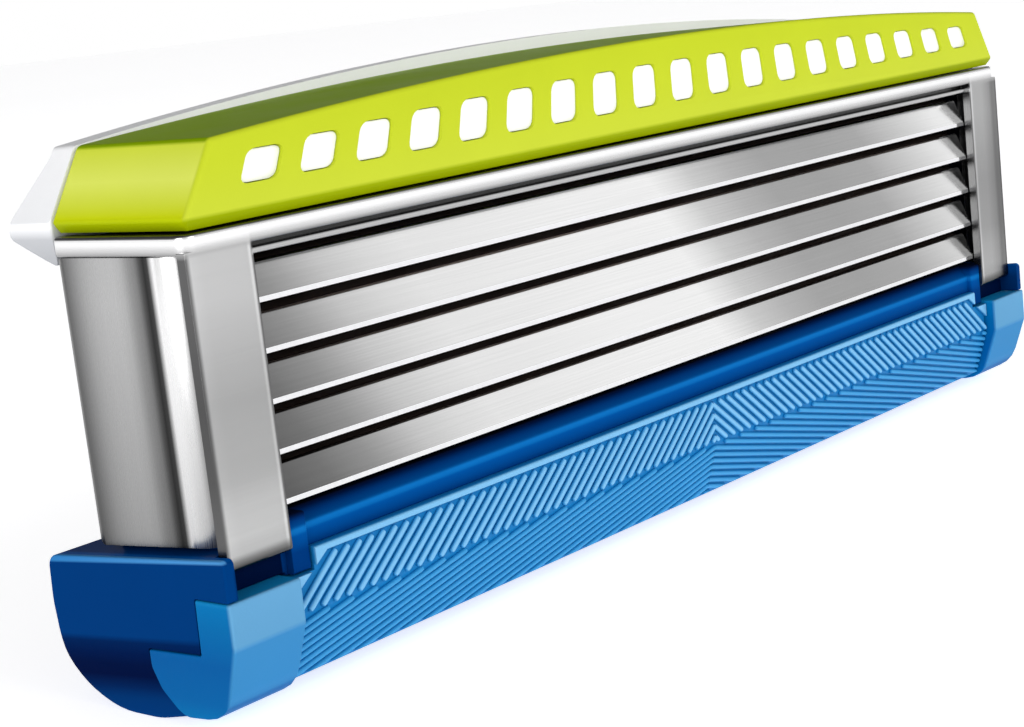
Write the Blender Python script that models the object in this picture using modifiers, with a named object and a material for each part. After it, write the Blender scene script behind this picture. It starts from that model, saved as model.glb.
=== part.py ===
"""Cartridge head of a five-blade razor, with a gel reservoir that flips back and a pivoting handle dock.

Sizes are in millimetres until a mesh is made, which turns them into metres. Every outline is drawn from
one datum: X runs along the blades, Y = 0 is the plane that meets the skin, with +Y into the head, and
Z = 0 is the lower end of the metal face strips. The empty "cartridge" carries that datum and puts the
origin under the middle of the head, at its lowest point.
"""

import math

import bmesh
import bpy
from mathutils import Matrix, Vector

MM = 0.001
GAP = 0.06  # clearance between touching pieces: a blade is only 0.1 mm thick, so it is small

# Moulded base of the head
BASE_HALF = 20.5
BASE_TOP_FRONT = (-0.3, 0.49)
BASE_TOP_BACK = (6.47, 0.01)
BASE_BOTTOM = -3.92
BAR_HALF = 18.1
GUTTER_FRONT = 0.3
GUTTER_TOP = 0.88
POST_INNER = 18.15
POST_OUTER = 19.5
POST_FRONT = 0.75
POST_BACK = 4.7
BEAM_LOW = 7.45
BEAM_HIGH = 7.95
BEAM_FRONT = 0.7

# Skin guard and its end caps
GUARD_HALF = 18.0
GUARD_FRONT = 0.0
GUARD_TOP = -0.15
GUARD_CREASE = -1.67
GUARD_BOTTOM = -3.42
GUARD_BACK = 1.6
CAP_FRONT = -0.35
CAP_TOP = -0.58
CAP_INNER = 18.2
CAP_OUTER = 20.52

# Stamped metal face and the side clips
SHEET = 0.3
FACE_HALF = 20.1
WINDOW_HALF = 18.0
WINDOW_TOP = 7.3
RAIL_TOP = 8.08
FACE_BACK = 4.9
CLIP_OUTER = 19.94
CLIP_BEND = 0.9
CLIP_LOW = 0.55
CLIP_HIGH = 7.55

# Blade pack
BLADES = 5
BLADE_PITCH = 1.25
TOP_EDGE_Z = 6.16
EDGE_Y = 0.3
BLADE_TILT = math.radians(22)
BLADE_HALF = 17.85
BLADE_WIDTH = 0.8
BLADE_THICK = 0.1
SUPPORT_HALF = 18.85
SUPPORT_THICK = 0.16
SUPPORT_BACK = 3.2
TAIL_RISE = 0.84
BLADE_TRAVEL = 0.35

# Spring combs behind the blade supports
COMB_INNER = 16.9
COMB_OUTER = 18.05
COMB_FRONT = SUPPORT_BACK + BLADE_TRAVEL + 0.1
COMB_SPINE = 3.85
COMB_BACK = 4.1

# Rear grille
GRILLE_HALF = 18.05
GRILLE_FRONT = 4.2
GRILLE_BACK = 4.65
GRILLE_LOW = 0.5
GRILLE_HIGH = 7.3
RINSE_COLUMNS = 8
RINSE_WIDTH = 3.6
RINSE_PITCH = 4.4
RINSE_HEIGHT = 0.5

# Gel reservoir
RESERVOIR_LOW_HALF = 19.75
RESERVOIR_HALF = 19.94
RESERVOIR_TOP_HALF = 18.85
RESERVOIR_LOW = 8.14
RESERVOIR_CHIN = 8.4
RESERVOIR_SHOULDER = 10.17
RESERVOIR_CROWN = 10.95
RESERVOIR_BACK = 5.0
RESERVOIR_WALL = 0.5
TRAY_BACK_LOW = 6.92
TRAY_BACK_HIGH = 5.9
TRAY_CROWN = 11.3
ARCH_STEPS = 24
GEL_WINDOWS = 19
GEL_WINDOW_PITCH = 1.915
GEL_WINDOW_WIDTH = 0.98
GEL_WINDOW_MID = (9.62, 1.12)
GEL_WINDOW_END = (9.36, 0.62)

# Reservoir hinge
HINGE_Y = 5.6
HINGE_Z = 7.5
HINGE_PIN = 0.35
KNUCKLE = 0.62
EAR_INNER = 15.9
EAR_OUTER = 16.9
KNUCKLE_OUTER = 18.1

# Handle dock and its pivot
PIVOT_Y = 8.6
PIVOT_Z = 2.0
PIVOT_PIN = 0.6
LUG_RADIUS = 1.35
LUG_INNER = 7.0
LUG_OUTER = 8.2
NOSE_RADIUS = 1.3
NOSE_HALF = 6.9
DOCK_HALF = 5.6
DOCK_HEIGHT = 6.2
DOCK_FRONT = 9.2
DOCK_BACK = 16.4
SOCKET_HALF = 4.5
SOCKET_HEIGHT = 4.5
SOCKET_FLOOR = 10.6
CATCH_HALF = 1.5
LEAF_HALF = 1.6
LEAF_THICK = 0.2

RUNNING = 0.03  # radial clearance of a pin in its hole

# The datum's place: origin under the middle of the head, at its lowest point
DATUM = Vector((0.0, -(CAP_FRONT + DOCK_BACK) / 2, -BASE_BOTTOM)) * MM

AXES = {
    "X": Matrix(((0, 0, 1), (1, 0, 0), (0, 1, 0))).to_4x4(),  # outline in (y, z)
    "Y": Matrix(((1, 0, 0), (0, 0, -1), (0, 1, 0))).to_4x4(),  # outline in (x, z)
    "Z": Matrix.Identity(4),  # outline in (x, y)
}


def start():
    """Clears the scene and makes the collection of parts and the one of cutters."""
    for item in list(bpy.data.objects):
        bpy.data.objects.remove(item, do_unlink=True)
    for name in ("razor_cartridge", "cutters"):
        bpy.context.scene.collection.children.link(bpy.data.collections.new(name))


def material(name, colour, roughness, metallic=0.0):
    made = bpy.data.materials.new(name)
    made.use_nodes = True
    made.diffuse_color = (*colour, 1.0)
    shader = made.node_tree.nodes["Principled BSDF"]
    shader.inputs["Base Color"].default_value = (*colour, 1.0)
    shader.inputs["Roughness"].default_value = roughness
    shader.inputs["Metallic"].default_value = metallic
    return made


def add(name, mesh, finish=None):
    """An object of the mesh: a part when it has a finish, and a cutter when it has none."""
    made = bpy.data.objects.new(name, mesh)
    bpy.data.collections["razor_cartridge" if finish else "cutters"].objects.link(made)
    if finish:
        mesh.materials.append(finish)
        mesh.shade_smooth()
        mesh.set_sharp_from_angle(angle=math.radians(30))
    else:
        made.hide_render = True
        made.display_type = "WIRE"
    return made


def prism(name, outline, low, high, along, finish=None):
    """A flat outline, drawn as a filled 2D curve and extruded from low to high along an axis."""
    curve = bpy.data.curves.new(name, "CURVE")
    curve.dimensions = "2D"
    curve.fill_mode = "BOTH"
    curve.extrude = (high - low) / 2
    spline = curve.splines.new("POLY")
    spline.points.add(len(outline) - 1)
    for point, (across, up) in zip(spline.points, outline):
        point.co = (across, up, 0.0, 1.0)
    spline.use_cyclic_u = True
    drawn = bpy.data.objects.new(name + "_outline", curve)
    bpy.context.scene.collection.objects.link(drawn)
    graph = bpy.context.evaluated_depsgraph_get()
    mesh = bpy.data.meshes.new_from_object(drawn.evaluated_get(graph))
    mesh.name = name
    middle = (high + low) / 2 * (-1 if along == "Y" else 1)
    turn = Matrix.Scale(MM, 4) @ AXES[along] @ Matrix.Translation((0, 0, middle))
    shape = bmesh.new()
    shape.from_mesh(mesh)
    bmesh.ops.remove_doubles(shape, verts=shape.verts, dist=1e-5)
    bmesh.ops.transform(shape, matrix=turn, verts=shape.verts)
    bmesh.ops.recalc_face_normals(shape, faces=shape.faces)
    shape.to_mesh(mesh)
    shape.free()
    mesh.materials.clear()
    bpy.data.objects.remove(drawn, do_unlink=True)
    return add(name, mesh, finish)


def block(name, low, high, finish=None):
    """A box between two corners."""
    size = Vector(high) - Vector(low)
    centre = (Vector(high) + Vector(low)) / 2
    place = Matrix.Translation(centre * MM) @ Matrix.Diagonal((*(size * MM), 1.0))
    mesh = bpy.data.meshes.new(name)
    shape = bmesh.new()
    bmesh.ops.create_cube(shape, size=1.0, matrix=place)
    shape.to_mesh(mesh)
    shape.free()
    return add(name, mesh, finish)


def rod(name, low, high, centre, radius, finish=None, sides=24):
    """A cylinder along X from low to high, round the axis at centre (y, z)."""
    turn = Matrix.Rotation(math.pi / 2, 4, "Y")
    place = Matrix.Translation(Vector(((low + high) / 2, *centre)) * MM) @ turn
    mesh = bpy.data.meshes.new(name)
    shape = bmesh.new()
    bmesh.ops.create_cone(
        shape,
        cap_ends=True,
        segments=sides,
        radius1=radius * MM,
        radius2=radius * MM,
        depth=abs(high - low) * MM,
        matrix=place,
    )
    shape.to_mesh(mesh)
    shape.free()
    return add(name, mesh, finish)


def combine(target, other, operation):
    """A Boolean modifier on the target; the other object stays a hidden helper."""
    step = target.modifiers.new(f"{operation.lower()} {other.name}", "BOOLEAN")
    step.operation = operation
    step.solver = "EXACT"
    step.object = other


def join(target, *others):
    for other in others:
        combine(target, other, "UNION")


def cut(target, *others):
    for other in others:
        combine(target, other, "DIFFERENCE")


def arc(centre, radius, first, last, steps):
    """Points on a circle from one angle to another, in degrees."""
    angles = [math.radians(first + (last - first) * i / steps) for i in range(steps + 1)]
    return [(centre[0] + radius * math.cos(a), centre[1] + radius * math.sin(a)) for a in angles]


def span(side, inner, outer):
    """The X range from inner to outer on one side, in ascending order."""
    return sorted((side * inner, side * outer))


def moulded_base(finish):
    """The dark blue moulding: a bar along the bottom, two end blocks, two posts and the top beam."""
    lower_curve = [(6.55, -1.2), (6.43, -2.48), (5.77, -3.36), (4.63, BASE_BOTTOM), (3.06, BASE_BOTTOM)]
    bar = [(GUARD_BACK + GAP, -3.72), (GUARD_BACK + GAP, -0.28), (GUTTER_FRONT, -0.1)]
    bar += [(GUTTER_FRONT, GUTTER_TOP - 0.1), (0.4, GUTTER_TOP), (0.9, GUTTER_TOP), (1.7, 0.35)]
    bar += [BASE_TOP_BACK, *lower_curve]
    base = prism("housing", bar, -BAR_HALF - 0.4, BAR_HALF + 0.4, "X", finish)
    end = [(CAP_FRONT + 0.05, -0.5), BASE_TOP_FRONT, BASE_TOP_BACK, *lower_curve, (1.93, -3.78), (0.35, -3.5)]
    beam = block("beam", (-POST_OUTER, BEAM_FRONT, BEAM_LOW), (POST_OUTER, POST_BACK, BEAM_HIGH))
    for side, tag in ((-1, "left"), (1, "right")):
        low, high = span(side, BAR_HALF, BASE_HALF)
        join(base, prism(f"end_block_{tag}", end, low, high, "X"))
    for side, tag in ((-1, "left"), (1, "right")):
        low, high = span(side, POST_INNER, POST_OUTER)
        join(base, block(f"post_{tag}", (low, POST_FRONT, -1.0), (high, POST_BACK, BEAM_LOW + 0.2)))
    join(base, beam)
    for side, tag in ((-1, "left"), (1, "right")):
        low, high = span(side, 17.35, BAR_HALF + 0.3)
        join(base, block(f"gutter_stop_{tag}", (low, 0.12, -0.62), (high, 1.2, GUTTER_TOP - 0.02)))
        low, high = span(side, WINDOW_HALF - 0.03, FACE_HALF + 0.08)
        cut(base, block(f"strip_pocket_{tag}", (low, -1.0, -0.35), (high, SHEET + GAP, 2.0)))
        low, high = span(side, CAP_INNER - GAP, CAP_OUTER + 1.0)
        cut(base, prism(f"cap_seat_{tag}", cap_outline(GAP), low, high, "X"))
        for number in range(1, BLADES + 1):
            low, high = span(side, POST_INNER - 0.2, SUPPORT_HALF + 0.12)
            z = edge_height(number)
            corner = (high, SUPPORT_BACK + BLADE_TRAVEL + 0.12, z + TAIL_RISE + 0.1)
            cut(base, block(f"slot_{number}_{tag}", (low, POST_FRONT - 0.2, z + 0.02), corner))
    reservoir_ears(base)
    pivot_lugs(base)
    return base


def reservoir_ears(base):
    """Two small ears behind the top beam, bored for the reservoir's hinge pins."""
    ear = [(3.9, 7.6), (4.3, 7.12), (4.9, 7.12), *arc((HINGE_Y, HINGE_Z), KNUCKLE, -110, 90, 12), (4.3, 7.9)]
    for side, tag in ((-1, "left"), (1, "right")):
        low, high = span(side, EAR_INNER, EAR_OUTER)
        join(base, prism(f"ear_{tag}", ear, low, high, "X"))
        low, high = span(side, EAR_INNER - 1, EAR_OUTER + 1)
        cut(base, rod(f"ear_bore_{tag}", low, high, (HINGE_Y, HINGE_Z), HINGE_PIN + RUNNING))


def pivot_lugs(base):
    """Two lugs that carry the handle dock on its pivot pins."""
    lug = [(5.2, -0.2), (5.2, -2.4), (6.5, -2.3), *arc((PIVOT_Y, PIVOT_Z), LUG_RADIUS, -50, 130, 14)]
    for side, tag in ((-1, "left"), (1, "right")):
        low, high = span(side, LUG_INNER, LUG_OUTER)
        join(base, prism(f"lug_{tag}", lug, low, high, "X"))
        low, high = span(side, LUG_INNER - 1, LUG_OUTER + 1)
        cut(base, rod(f"lug_bore_{tag}", low, high, (PIVOT_Y, PIVOT_Z), PIVOT_PIN + RUNNING))


def cap_outline(grow=0.0):
    """The stepped side of an end cap, (y, z), grown outwards for the seat that it sits in."""
    return [
        (CAP_FRONT - grow, GUARD_CREASE),
        (CAP_FRONT - grow, CAP_TOP + grow),
        (0.9 + grow, CAP_TOP + grow),
        (0.95 + grow, -1.97 + grow),
        (2.9 + grow, -2.05 + grow),
        (2.9 + grow, -2.5 - grow),
        (2.66 + grow, -3.05 - grow),
        (2.2 + grow, -3.5 - grow),
        (1.9 + grow, -3.68 - grow),
        (0.35 - grow, -3.56 - grow),
    ]


def guard_pieces(soft, cap):
    """The soft ribbed guard, plain here, and the hard cap at each end."""
    outline = [(GUARD_FRONT + 0.12, GUARD_TOP), (GUARD_FRONT, GUARD_TOP - 0.12), (GUARD_FRONT, GUARD_CREASE)]
    outline += [(0.6, GUARD_BOTTOM), (1.0, -3.6), (GUARD_BACK, -3.6), (GUARD_BACK, -0.34), (1.0, GUARD_TOP - 0.05)]
    guard = prism("guard_strip", outline, -GUARD_HALF, GUARD_HALF, "X", soft)
    for side, tag in ((-1, "left"), (1, "right")):
        low, high = span(side, 17.35 - GAP, GUARD_HALF + 0.5)
        cut(guard, block(f"guard_notch_{tag}", (low, -1.0, -0.62 - GAP), (high, 3.0, 0.5)))
        low, high = span(side, CAP_INNER, CAP_OUTER)
        prism(f"end_cap_{tag}", cap_outline(), low, high, "X", cap)


def metal_face(finish):
    """One stamping: the rail over the blades, its return along both sides, and the two face strips."""
    rail = [(0.0, 7.6), (0.0, 7.85), (0.1, 8.02), (0.25, RAIL_TOP), (0.62, RAIL_TOP), (0.62, WINDOW_TOP)]
    rail += [(0.18, WINDOW_TOP), (0.1, 7.42)]
    face = prism("face_frame", rail, -FACE_HALF + 0.05, FACE_HALF - 0.05, "X", finish)
    for side, tag in ((-1, "left"), (1, "right")):
        low, high = span(side, WINDOW_HALF, FACE_HALF)
        join(face, block(f"face_strip_{tag}", (low, 0.0, 0.0), (high, SHEET, 7.8)))
        low, high = span(side, POST_OUTER + GAP, FACE_HALF)
        join(face, block(f"rail_return_{tag}", (low, 0.2, 7.62), (high, FACE_BACK, RAIL_TOP - 0.01)))
    return face


def side_clips(finish):
    """A bent sheet over each end post: a flat side panel that turns round the front corner."""
    bend = (CLIP_OUTER - CLIP_BEND, 0.5 + CLIP_BEND)
    outline = [(CLIP_OUTER, FACE_BACK), *arc(bend, CLIP_BEND, 0, -90, 8)]
    outline += [(bend[0], 0.5 + SHEET), *arc(bend, CLIP_BEND - SHEET, -90, 0, 8)]
    outline += [(CLIP_OUTER - SHEET, FACE_BACK)]
    for side, tag in ((-1, "left"), (1, "right")):
        turned = [(side * x, y) for x, y in outline]
        clip = prism(f"side_clip_{tag}", turned, CLIP_LOW, CLIP_HIGH, "Z", finish)
        low, high = span(side, POST_INNER, POST_OUTER + GAP)
        cut(clip, block(f"clip_relief_{tag}", (low, POST_FRONT - GAP, -1.0), (high, 6.0, 9.0)))


def edge_height(number):
    """Height of a blade's cutting edge, counted from the top blade."""
    return TOP_EDGE_Z - BLADE_PITCH * (number - 1)


def along_blade(number, distance, depth):
    """The point at a distance up the blade from its edge and a depth behind its front, (y, z)."""
    y = EDGE_Y + distance * math.sin(BLADE_TILT) + depth * math.cos(BLADE_TILT)
    z = edge_height(number) + distance * math.cos(BLADE_TILT) - depth * math.sin(BLADE_TILT)
    return (y, z)


def where_level(number, depth, rise):
    """Where the line at that depth behind the blade reaches a rise above its edge, (y, z)."""
    return along_blade(number, (rise + depth * math.sin(BLADE_TILT)) / math.cos(BLADE_TILT), depth)


def blade_pair(number, steel, carrier):
    """A honed strip and the bent support that it is welded to."""
    strip = [along_blade(number, 0.0, 0.0), along_blade(number, BLADE_WIDTH, 0.0)]
    strip += [along_blade(number, BLADE_WIDTH, BLADE_THICK), along_blade(number, 0.22, BLADE_THICK)]
    blade = prism(f"blade_{number}", strip, -BLADE_HALF, BLADE_HALF, "X", steel)
    near = BLADE_THICK + 0.03
    far = near + SUPPORT_THICK
    low = edge_height(number) + TAIL_RISE - SUPPORT_THICK
    high = edge_height(number) + TAIL_RISE
    bent = [along_blade(number, 0.3, far), along_blade(number, 0.3, near)]
    bent += [where_level(number, near, TAIL_RISE - 0.07), (where_level(number, near, TAIL_RISE)[0] + 0.06, high)]
    bent += [(SUPPORT_BACK, high), (SUPPORT_BACK, low), where_level(number, far, TAIL_RISE - SUPPORT_THICK)]
    support = prism(f"blade_support_{number}", bent, -SUPPORT_HALF, SUPPORT_HALF, "X", carrier)
    return blade, support


def spring_combs(finish):
    """At each end a moulded comb, one finger behind each support."""
    for side, tag in ((-1, "left"), (1, "right")):
        low, high = span(side, COMB_INNER, COMB_OUTER)
        comb = block(f"spring_comb_{tag}", (low, COMB_SPINE, 1.0), (high, COMB_BACK, 7.2), finish)
        for number in range(1, BLADES + 1):
            z = edge_height(number) + TAIL_RISE - SUPPORT_THICK / 2
            finger = [(COMB_FRONT, z - 0.12), (COMB_FRONT, z + 0.12), (COMB_BACK - 0.1, z + 0.35), (COMB_BACK - 0.1, z - 0.35)]
            join(comb, prism(f"finger_{number}_{tag}", finger, low + 0.05, high - 0.05, "X"))


def rear_grille(finish):
    """The plate behind the blades, with a row of rinse slots level with each support."""
    low, high = (-GRILLE_HALF, GRILLE_FRONT, GRILLE_LOW), (GRILLE_HALF, GRILLE_BACK, GRILLE_HIGH)
    plate = block("rear_grille", low, high, finish)
    for column in range(RINSE_COLUMNS):
        middle = (column - (RINSE_COLUMNS - 1) / 2) * RINSE_PITCH
        left, right = middle - RINSE_WIDTH / 2, middle + RINSE_WIDTH / 2
        for row in range(1, BLADES + 1):
            top = edge_height(row) + TAIL_RISE
            corners = (left, GRILLE_FRONT - 0.2, top - RINSE_HEIGHT), (right, GRILLE_BACK + 0.2, top)
            cut(plate, block(f"rinse_slot_{column}_{row}", *corners))
    for side, tag in ((-1, "left"), (1, "right")):
        left, right = span(side, EAR_INNER - 0.1, EAR_OUTER + 0.1)
        cut(plate, block(f"ear_relief_{tag}", (left, 3.0, 7.05), (right, 6.0, 8.0)))
    return plate


def arch(x, crown, half, shoulder):
    """Height of the reservoir's top at x: a parabola from the shoulders to the crown."""
    return crown - (crown - shoulder) * (x / half) ** 2


def reservoir_outline(inset, crown=RESERVOIR_CROWN):
    """Front outline of the reservoir, (x, z), pulled in by an inset."""
    top_half = RESERVOIR_TOP_HALF - inset
    shoulder = RESERVOIR_SHOULDER - inset
    outline = [(-RESERVOIR_LOW_HALF + inset, RESERVOIR_LOW + inset), (RESERVOIR_LOW_HALF - inset, RESERVOIR_LOW + inset)]
    outline += [(RESERVOIR_HALF - inset, RESERVOIR_CHIN + inset * 0.2)]
    for step in range(ARCH_STEPS + 1):
        x = top_half - 2 * top_half * step / ARCH_STEPS
        outline.append((x, arch(x, crown - inset, top_half, shoulder)))
    outline.append((-RESERVOIR_HALF + inset, RESERVOIR_CHIN + inset * 0.2))
    return outline


def reservoir(shell_finish, gel_finish, tray_finish):
    """The green shell with its row of windows, the gel inside, and the white tray that closes the back."""
    shell = prism("reservoir_shell", reservoir_outline(0.0), 0.0, RESERVOIR_BACK, "Y", shell_finish)
    soften = shell.modifiers.new("soft edges", "BEVEL")
    soften.width = 0.15 * MM
    soften.segments = 2
    soften.limit_method = "ANGLE"
    soften.angle_limit = math.radians(20)
    hollow = prism("shell_hollow", reservoir_outline(RESERVOIR_WALL), RESERVOIR_WALL, RESERVOIR_BACK + 1, "Y")
    cut(shell, hollow)
    for index in range(GEL_WINDOWS):
        place = index - (GEL_WINDOWS - 1) / 2
        toward_end = (abs(place) / ((GEL_WINDOWS - 1) / 2)) ** 2
        middle, height = (a + (b - a) * toward_end for a, b in zip(GEL_WINDOW_MID, GEL_WINDOW_END))
        window = rounded_rectangle(place * GEL_WINDOW_PITCH, middle, GEL_WINDOW_WIDTH, height, 0.2)
        cut(shell, prism(f"gel_window_{index}", window, -1.0, RESERVOIR_WALL + 0.3, "Y"))
    fill = RESERVOIR_WALL + GAP
    prism("gel_strip", reservoir_outline(fill), fill, RESERVOIR_BACK - 0.1, "Y", gel_finish)
    tray_pieces(tray_finish)


def rounded_rectangle(x, z, width, height, radius):
    outline = []
    for turn, (sx, sz) in enumerate(((1, 1), (-1, 1), (-1, -1), (1, -1))):
        corner = (x + sx * (width / 2 - radius), z + sz * (height / 2 - radius))
        outline += arc(corner, radius, 90 * turn, 90 * turn + 90, 3)
    return outline


def tray_pieces(finish):
    """The tray behind the shell, with a hinge knuckle outside each ear, and its pins."""
    front = RESERVOIR_BACK + GAP
    side_view = [(front, 7.3), (HINGE_Y, HINGE_Z), (TRAY_BACK_LOW, 8.05), (TRAY_BACK_HIGH, 9.95)]
    side_view += [(TRAY_BACK_HIGH - 0.1, TRAY_CROWN + 0.5), (front, TRAY_CROWN + 0.5)]
    tray = prism("reservoir_tray", side_view, -RESERVOIR_HALF, RESERVOIR_HALF, "X", finish)
    outline = reservoir_outline(0.0, TRAY_CROWN)
    outline[0] = (-RESERVOIR_LOW_HALF, 6.0)
    outline[1] = (RESERVOIR_LOW_HALF, 6.0)
    trim = prism("tray_outline", outline, 3.0, 9.0, "Y")
    combine(tray, trim, "INTERSECT")
    for side, tag in ((-1, "left"), (1, "right")):
        low, high = span(side, EAR_OUTER + GAP, KNUCKLE_OUTER)
        join(tray, rod(f"knuckle_{tag}", low, high, (HINGE_Y, HINGE_Z), KNUCKLE - 0.05))
        low, high = span(side, EAR_INNER - 0.25, EAR_OUTER + GAP)
        cut(tray, rod(f"ear_room_{tag}", low, high, (HINGE_Y, HINGE_Z), KNUCKLE + 0.15))
        low, high = span(side, EAR_INNER - 1.2, KNUCKLE_OUTER + 0.2)
        cut(tray, rod(f"tray_bore_{tag}", low, high, (HINGE_Y, HINGE_Z), HINGE_PIN + RUNNING))
        low, high = span(side, EAR_INNER - 0.2, KNUCKLE_OUTER - 0.1)
        rod(f"hinge_pin_{tag}", low, high, (HINGE_Y, HINGE_Z), HINGE_PIN, bpy.data.materials["pin steel"])
    return tray


def handle_dock(finish, pin_finish):
    """The dock that the handle plugs into, on two stub pins."""
    low_z = PIVOT_Z - DOCK_HEIGHT / 2
    high_z = PIVOT_Z + DOCK_HEIGHT / 2
    dock = block("handle_dock", (-DOCK_HALF, DOCK_FRONT, low_z), (DOCK_HALF, DOCK_BACK, high_z), finish)
    soften = dock.modifiers.new("soft edges", "BEVEL")
    soften.width = 0.8 * MM
    soften.segments = 3
    join(dock, rod("dock_nose", -NOSE_HALF, NOSE_HALF, (PIVOT_Y, PIVOT_Z), NOSE_RADIUS, sides=32))
    socket_low = PIVOT_Z - SOCKET_HEIGHT / 2
    socket_high = PIVOT_Z + SOCKET_HEIGHT / 2
    cut(dock, block("socket", (-SOCKET_HALF, SOCKET_FLOOR, socket_low), (SOCKET_HALF, DOCK_BACK + 1, socket_high)))
    for tag, z in (("low", low_z), ("high", high_z)):
        cut(dock, block(f"catch_window_{tag}", (-CATCH_HALF, 13.0, z - 1.2), (CATCH_HALF, 14.4, z + 1.2)))
    for side, tag in ((-1, "left"), (1, "right")):
        low, high = span(side, 5.4, NOSE_HALF + 1)
        cut(dock, rod(f"dock_bore_{tag}", low, high, (PIVOT_Y, PIVOT_Z), PIVOT_PIN + RUNNING))
        low, high = span(side, 5.5, LUG_OUTER - 0.1)
        rod(f"pivot_pin_{tag}", low, high, (PIVOT_Y, PIVOT_Z), PIVOT_PIN, pin_finish)
    return dock


def bent_sheet(path, thickness):
    """The outline of a sheet bent along a path, half its thickness to either side."""
    sides = ([], [])
    for index, (across, up) in enumerate(path):
        before, after = path[max(index - 1, 0)], path[min(index + 1, len(path) - 1)]
        run = Vector((after[0] - before[0], after[1] - before[1])).normalized()
        for side, points in zip((1, -1), sides):
            points.append((across - side * run.y * thickness / 2, up + side * run.x * thickness / 2))
    return sides[0] + sides[1][::-1]


def return_leaf(finish):
    """The bent leaf between the rear grille and the dock, which swings the dock back."""
    path = [(4.82, 5.6), (4.82, 5.1), *arc((5.22, 5.1), 0.4, 180, 270, 4)]
    path += [*arc((8.2, 3.95), 0.75, 90, 0, 6), (8.95, 3.5)]
    return prism("return_leaf", bent_sheet(path, LEAF_THICK), -LEAF_HALF, LEAF_HALF, "X", finish)


def axis_empty(name, y, z):
    """An empty on a joint's axis, carried by the cartridge's datum."""
    empty = bpy.data.objects.new(name, None)
    bpy.data.collections["razor_cartridge"].objects.link(empty)
    empty.empty_display_size = 2 * MM
    empty.location = Vector((0, y, z)) * MM
    return empty


def assemble():
    """Hangs every piece on the datum or, where it moves, on its joint's empty."""
    datum = axis_empty("cartridge", 0, 0)
    datum.location = DATUM
    groups = {
        axis_empty("dock_axis", PIVOT_Y, PIVOT_Z): ("handle_dock", "pivot_pin_left", "pivot_pin_right"),
        axis_empty("reservoir_axis", HINGE_Y, HINGE_Z): (
            "reservoir_shell", "gel_strip", "reservoir_tray", "hinge_pin_left", "hinge_pin_right"
        ),
    }
    for number in range(1, BLADES + 1):
        slide = axis_empty(f"blade_slide_{number}", SUPPORT_BACK, edge_height(number) + TAIL_RISE)
        groups[slide] = (f"blade_{number}", f"blade_support_{number}")
    for empty, names in groups.items():
        empty.parent = datum
        for name in names:
            piece = bpy.data.objects[name]
            piece.parent = empty
            piece.location = -empty.location
    for piece in bpy.data.objects:
        if piece.parent is None and piece is not datum:
            piece.parent = datum


def main():
    start()
    navy = material("moulded navy ABS", (0.0, 0.045, 0.22), 0.35)
    sky = material("sky blue ABS", (0.13, 0.38, 0.68), 0.4)
    rubber = material("blue elastomer", (0.02, 0.21, 0.5), 0.6)
    silver = material("brushed silver sheet", (0.5, 0.51, 0.52), 0.3, 1.0)
    steel = material("honed steel", (0.6, 0.6, 0.61), 0.2, 1.0)
    carrier = material("stamped steel carrier", (0.4, 0.4, 0.42), 0.35, 1.0)
    green = material("lime polypropylene", (0.6, 0.68, 0.04), 0.4)
    gel = material("white gel", (0.9, 0.92, 0.9), 0.3)
    white = material("milky polypropylene", (0.85, 0.86, 0.88), 0.35)
    grey = material("dark grey acetal", (0.05, 0.055, 0.06), 0.45)
    pin = material("pin steel", (0.55, 0.55, 0.56), 0.25, 1.0)
    moulded_base(navy)
    guard_pieces(rubber, sky)
    metal_face(silver)
    side_clips(silver)
    for number in range(1, BLADES + 1):
        blade_pair(number, steel, carrier)
    spring_combs(grey)
    rear_grille(navy)
    reservoir(green, gel, white)
    handle_dock(grey, pin)
    return_leaf(pin)
    assemble()


main()
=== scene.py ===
"""Looks of a five-blade razor cartridge.

Every piece is drawn in millimetres from one datum: X runs along the blades, Y = 0 is the plane that meets
the skin, with +Y into the head, and Z = 0 is the lower end of the metal face strips. A finished piece is
then put in the row frame, in metres.
"""

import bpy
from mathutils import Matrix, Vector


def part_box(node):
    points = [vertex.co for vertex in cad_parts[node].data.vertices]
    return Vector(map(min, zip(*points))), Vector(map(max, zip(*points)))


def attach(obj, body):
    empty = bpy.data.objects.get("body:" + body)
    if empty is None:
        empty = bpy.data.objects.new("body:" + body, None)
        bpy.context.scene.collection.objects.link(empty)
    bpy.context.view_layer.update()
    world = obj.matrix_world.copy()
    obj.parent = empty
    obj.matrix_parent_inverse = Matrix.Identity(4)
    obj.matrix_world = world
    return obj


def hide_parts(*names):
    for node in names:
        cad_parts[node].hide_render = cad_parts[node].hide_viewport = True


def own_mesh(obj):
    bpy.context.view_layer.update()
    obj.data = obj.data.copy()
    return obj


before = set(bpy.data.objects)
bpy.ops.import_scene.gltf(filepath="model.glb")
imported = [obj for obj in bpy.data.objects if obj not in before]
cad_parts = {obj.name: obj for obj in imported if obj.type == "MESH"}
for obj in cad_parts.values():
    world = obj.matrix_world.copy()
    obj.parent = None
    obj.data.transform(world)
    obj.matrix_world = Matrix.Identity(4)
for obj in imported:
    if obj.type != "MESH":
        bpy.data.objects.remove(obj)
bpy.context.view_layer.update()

import math

import bmesh
import bpy
from mathutils import Matrix, Vector

MM = 0.001
FACE_LOW, FACE_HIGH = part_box("face_frame")
DATUM = Vector((0.0, FACE_LOW.y, FACE_LOW.z))
SIDES = ((-1, "left"), (1, "right"))

# Moulded base of the head
BASE_HALF = 20.5
BASE_LOW = -3.92
POST = (18.15, 19.5)
LOWER_CURVE = ((6.55, -1.2, 3.0), (6.43, -2.48, 3.0), (5.77, -3.36, 3.0), (4.63, BASE_LOW, 3.0), (3.06, BASE_LOW, 3.0))
CREASE_SLOPE = 0.085

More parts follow.
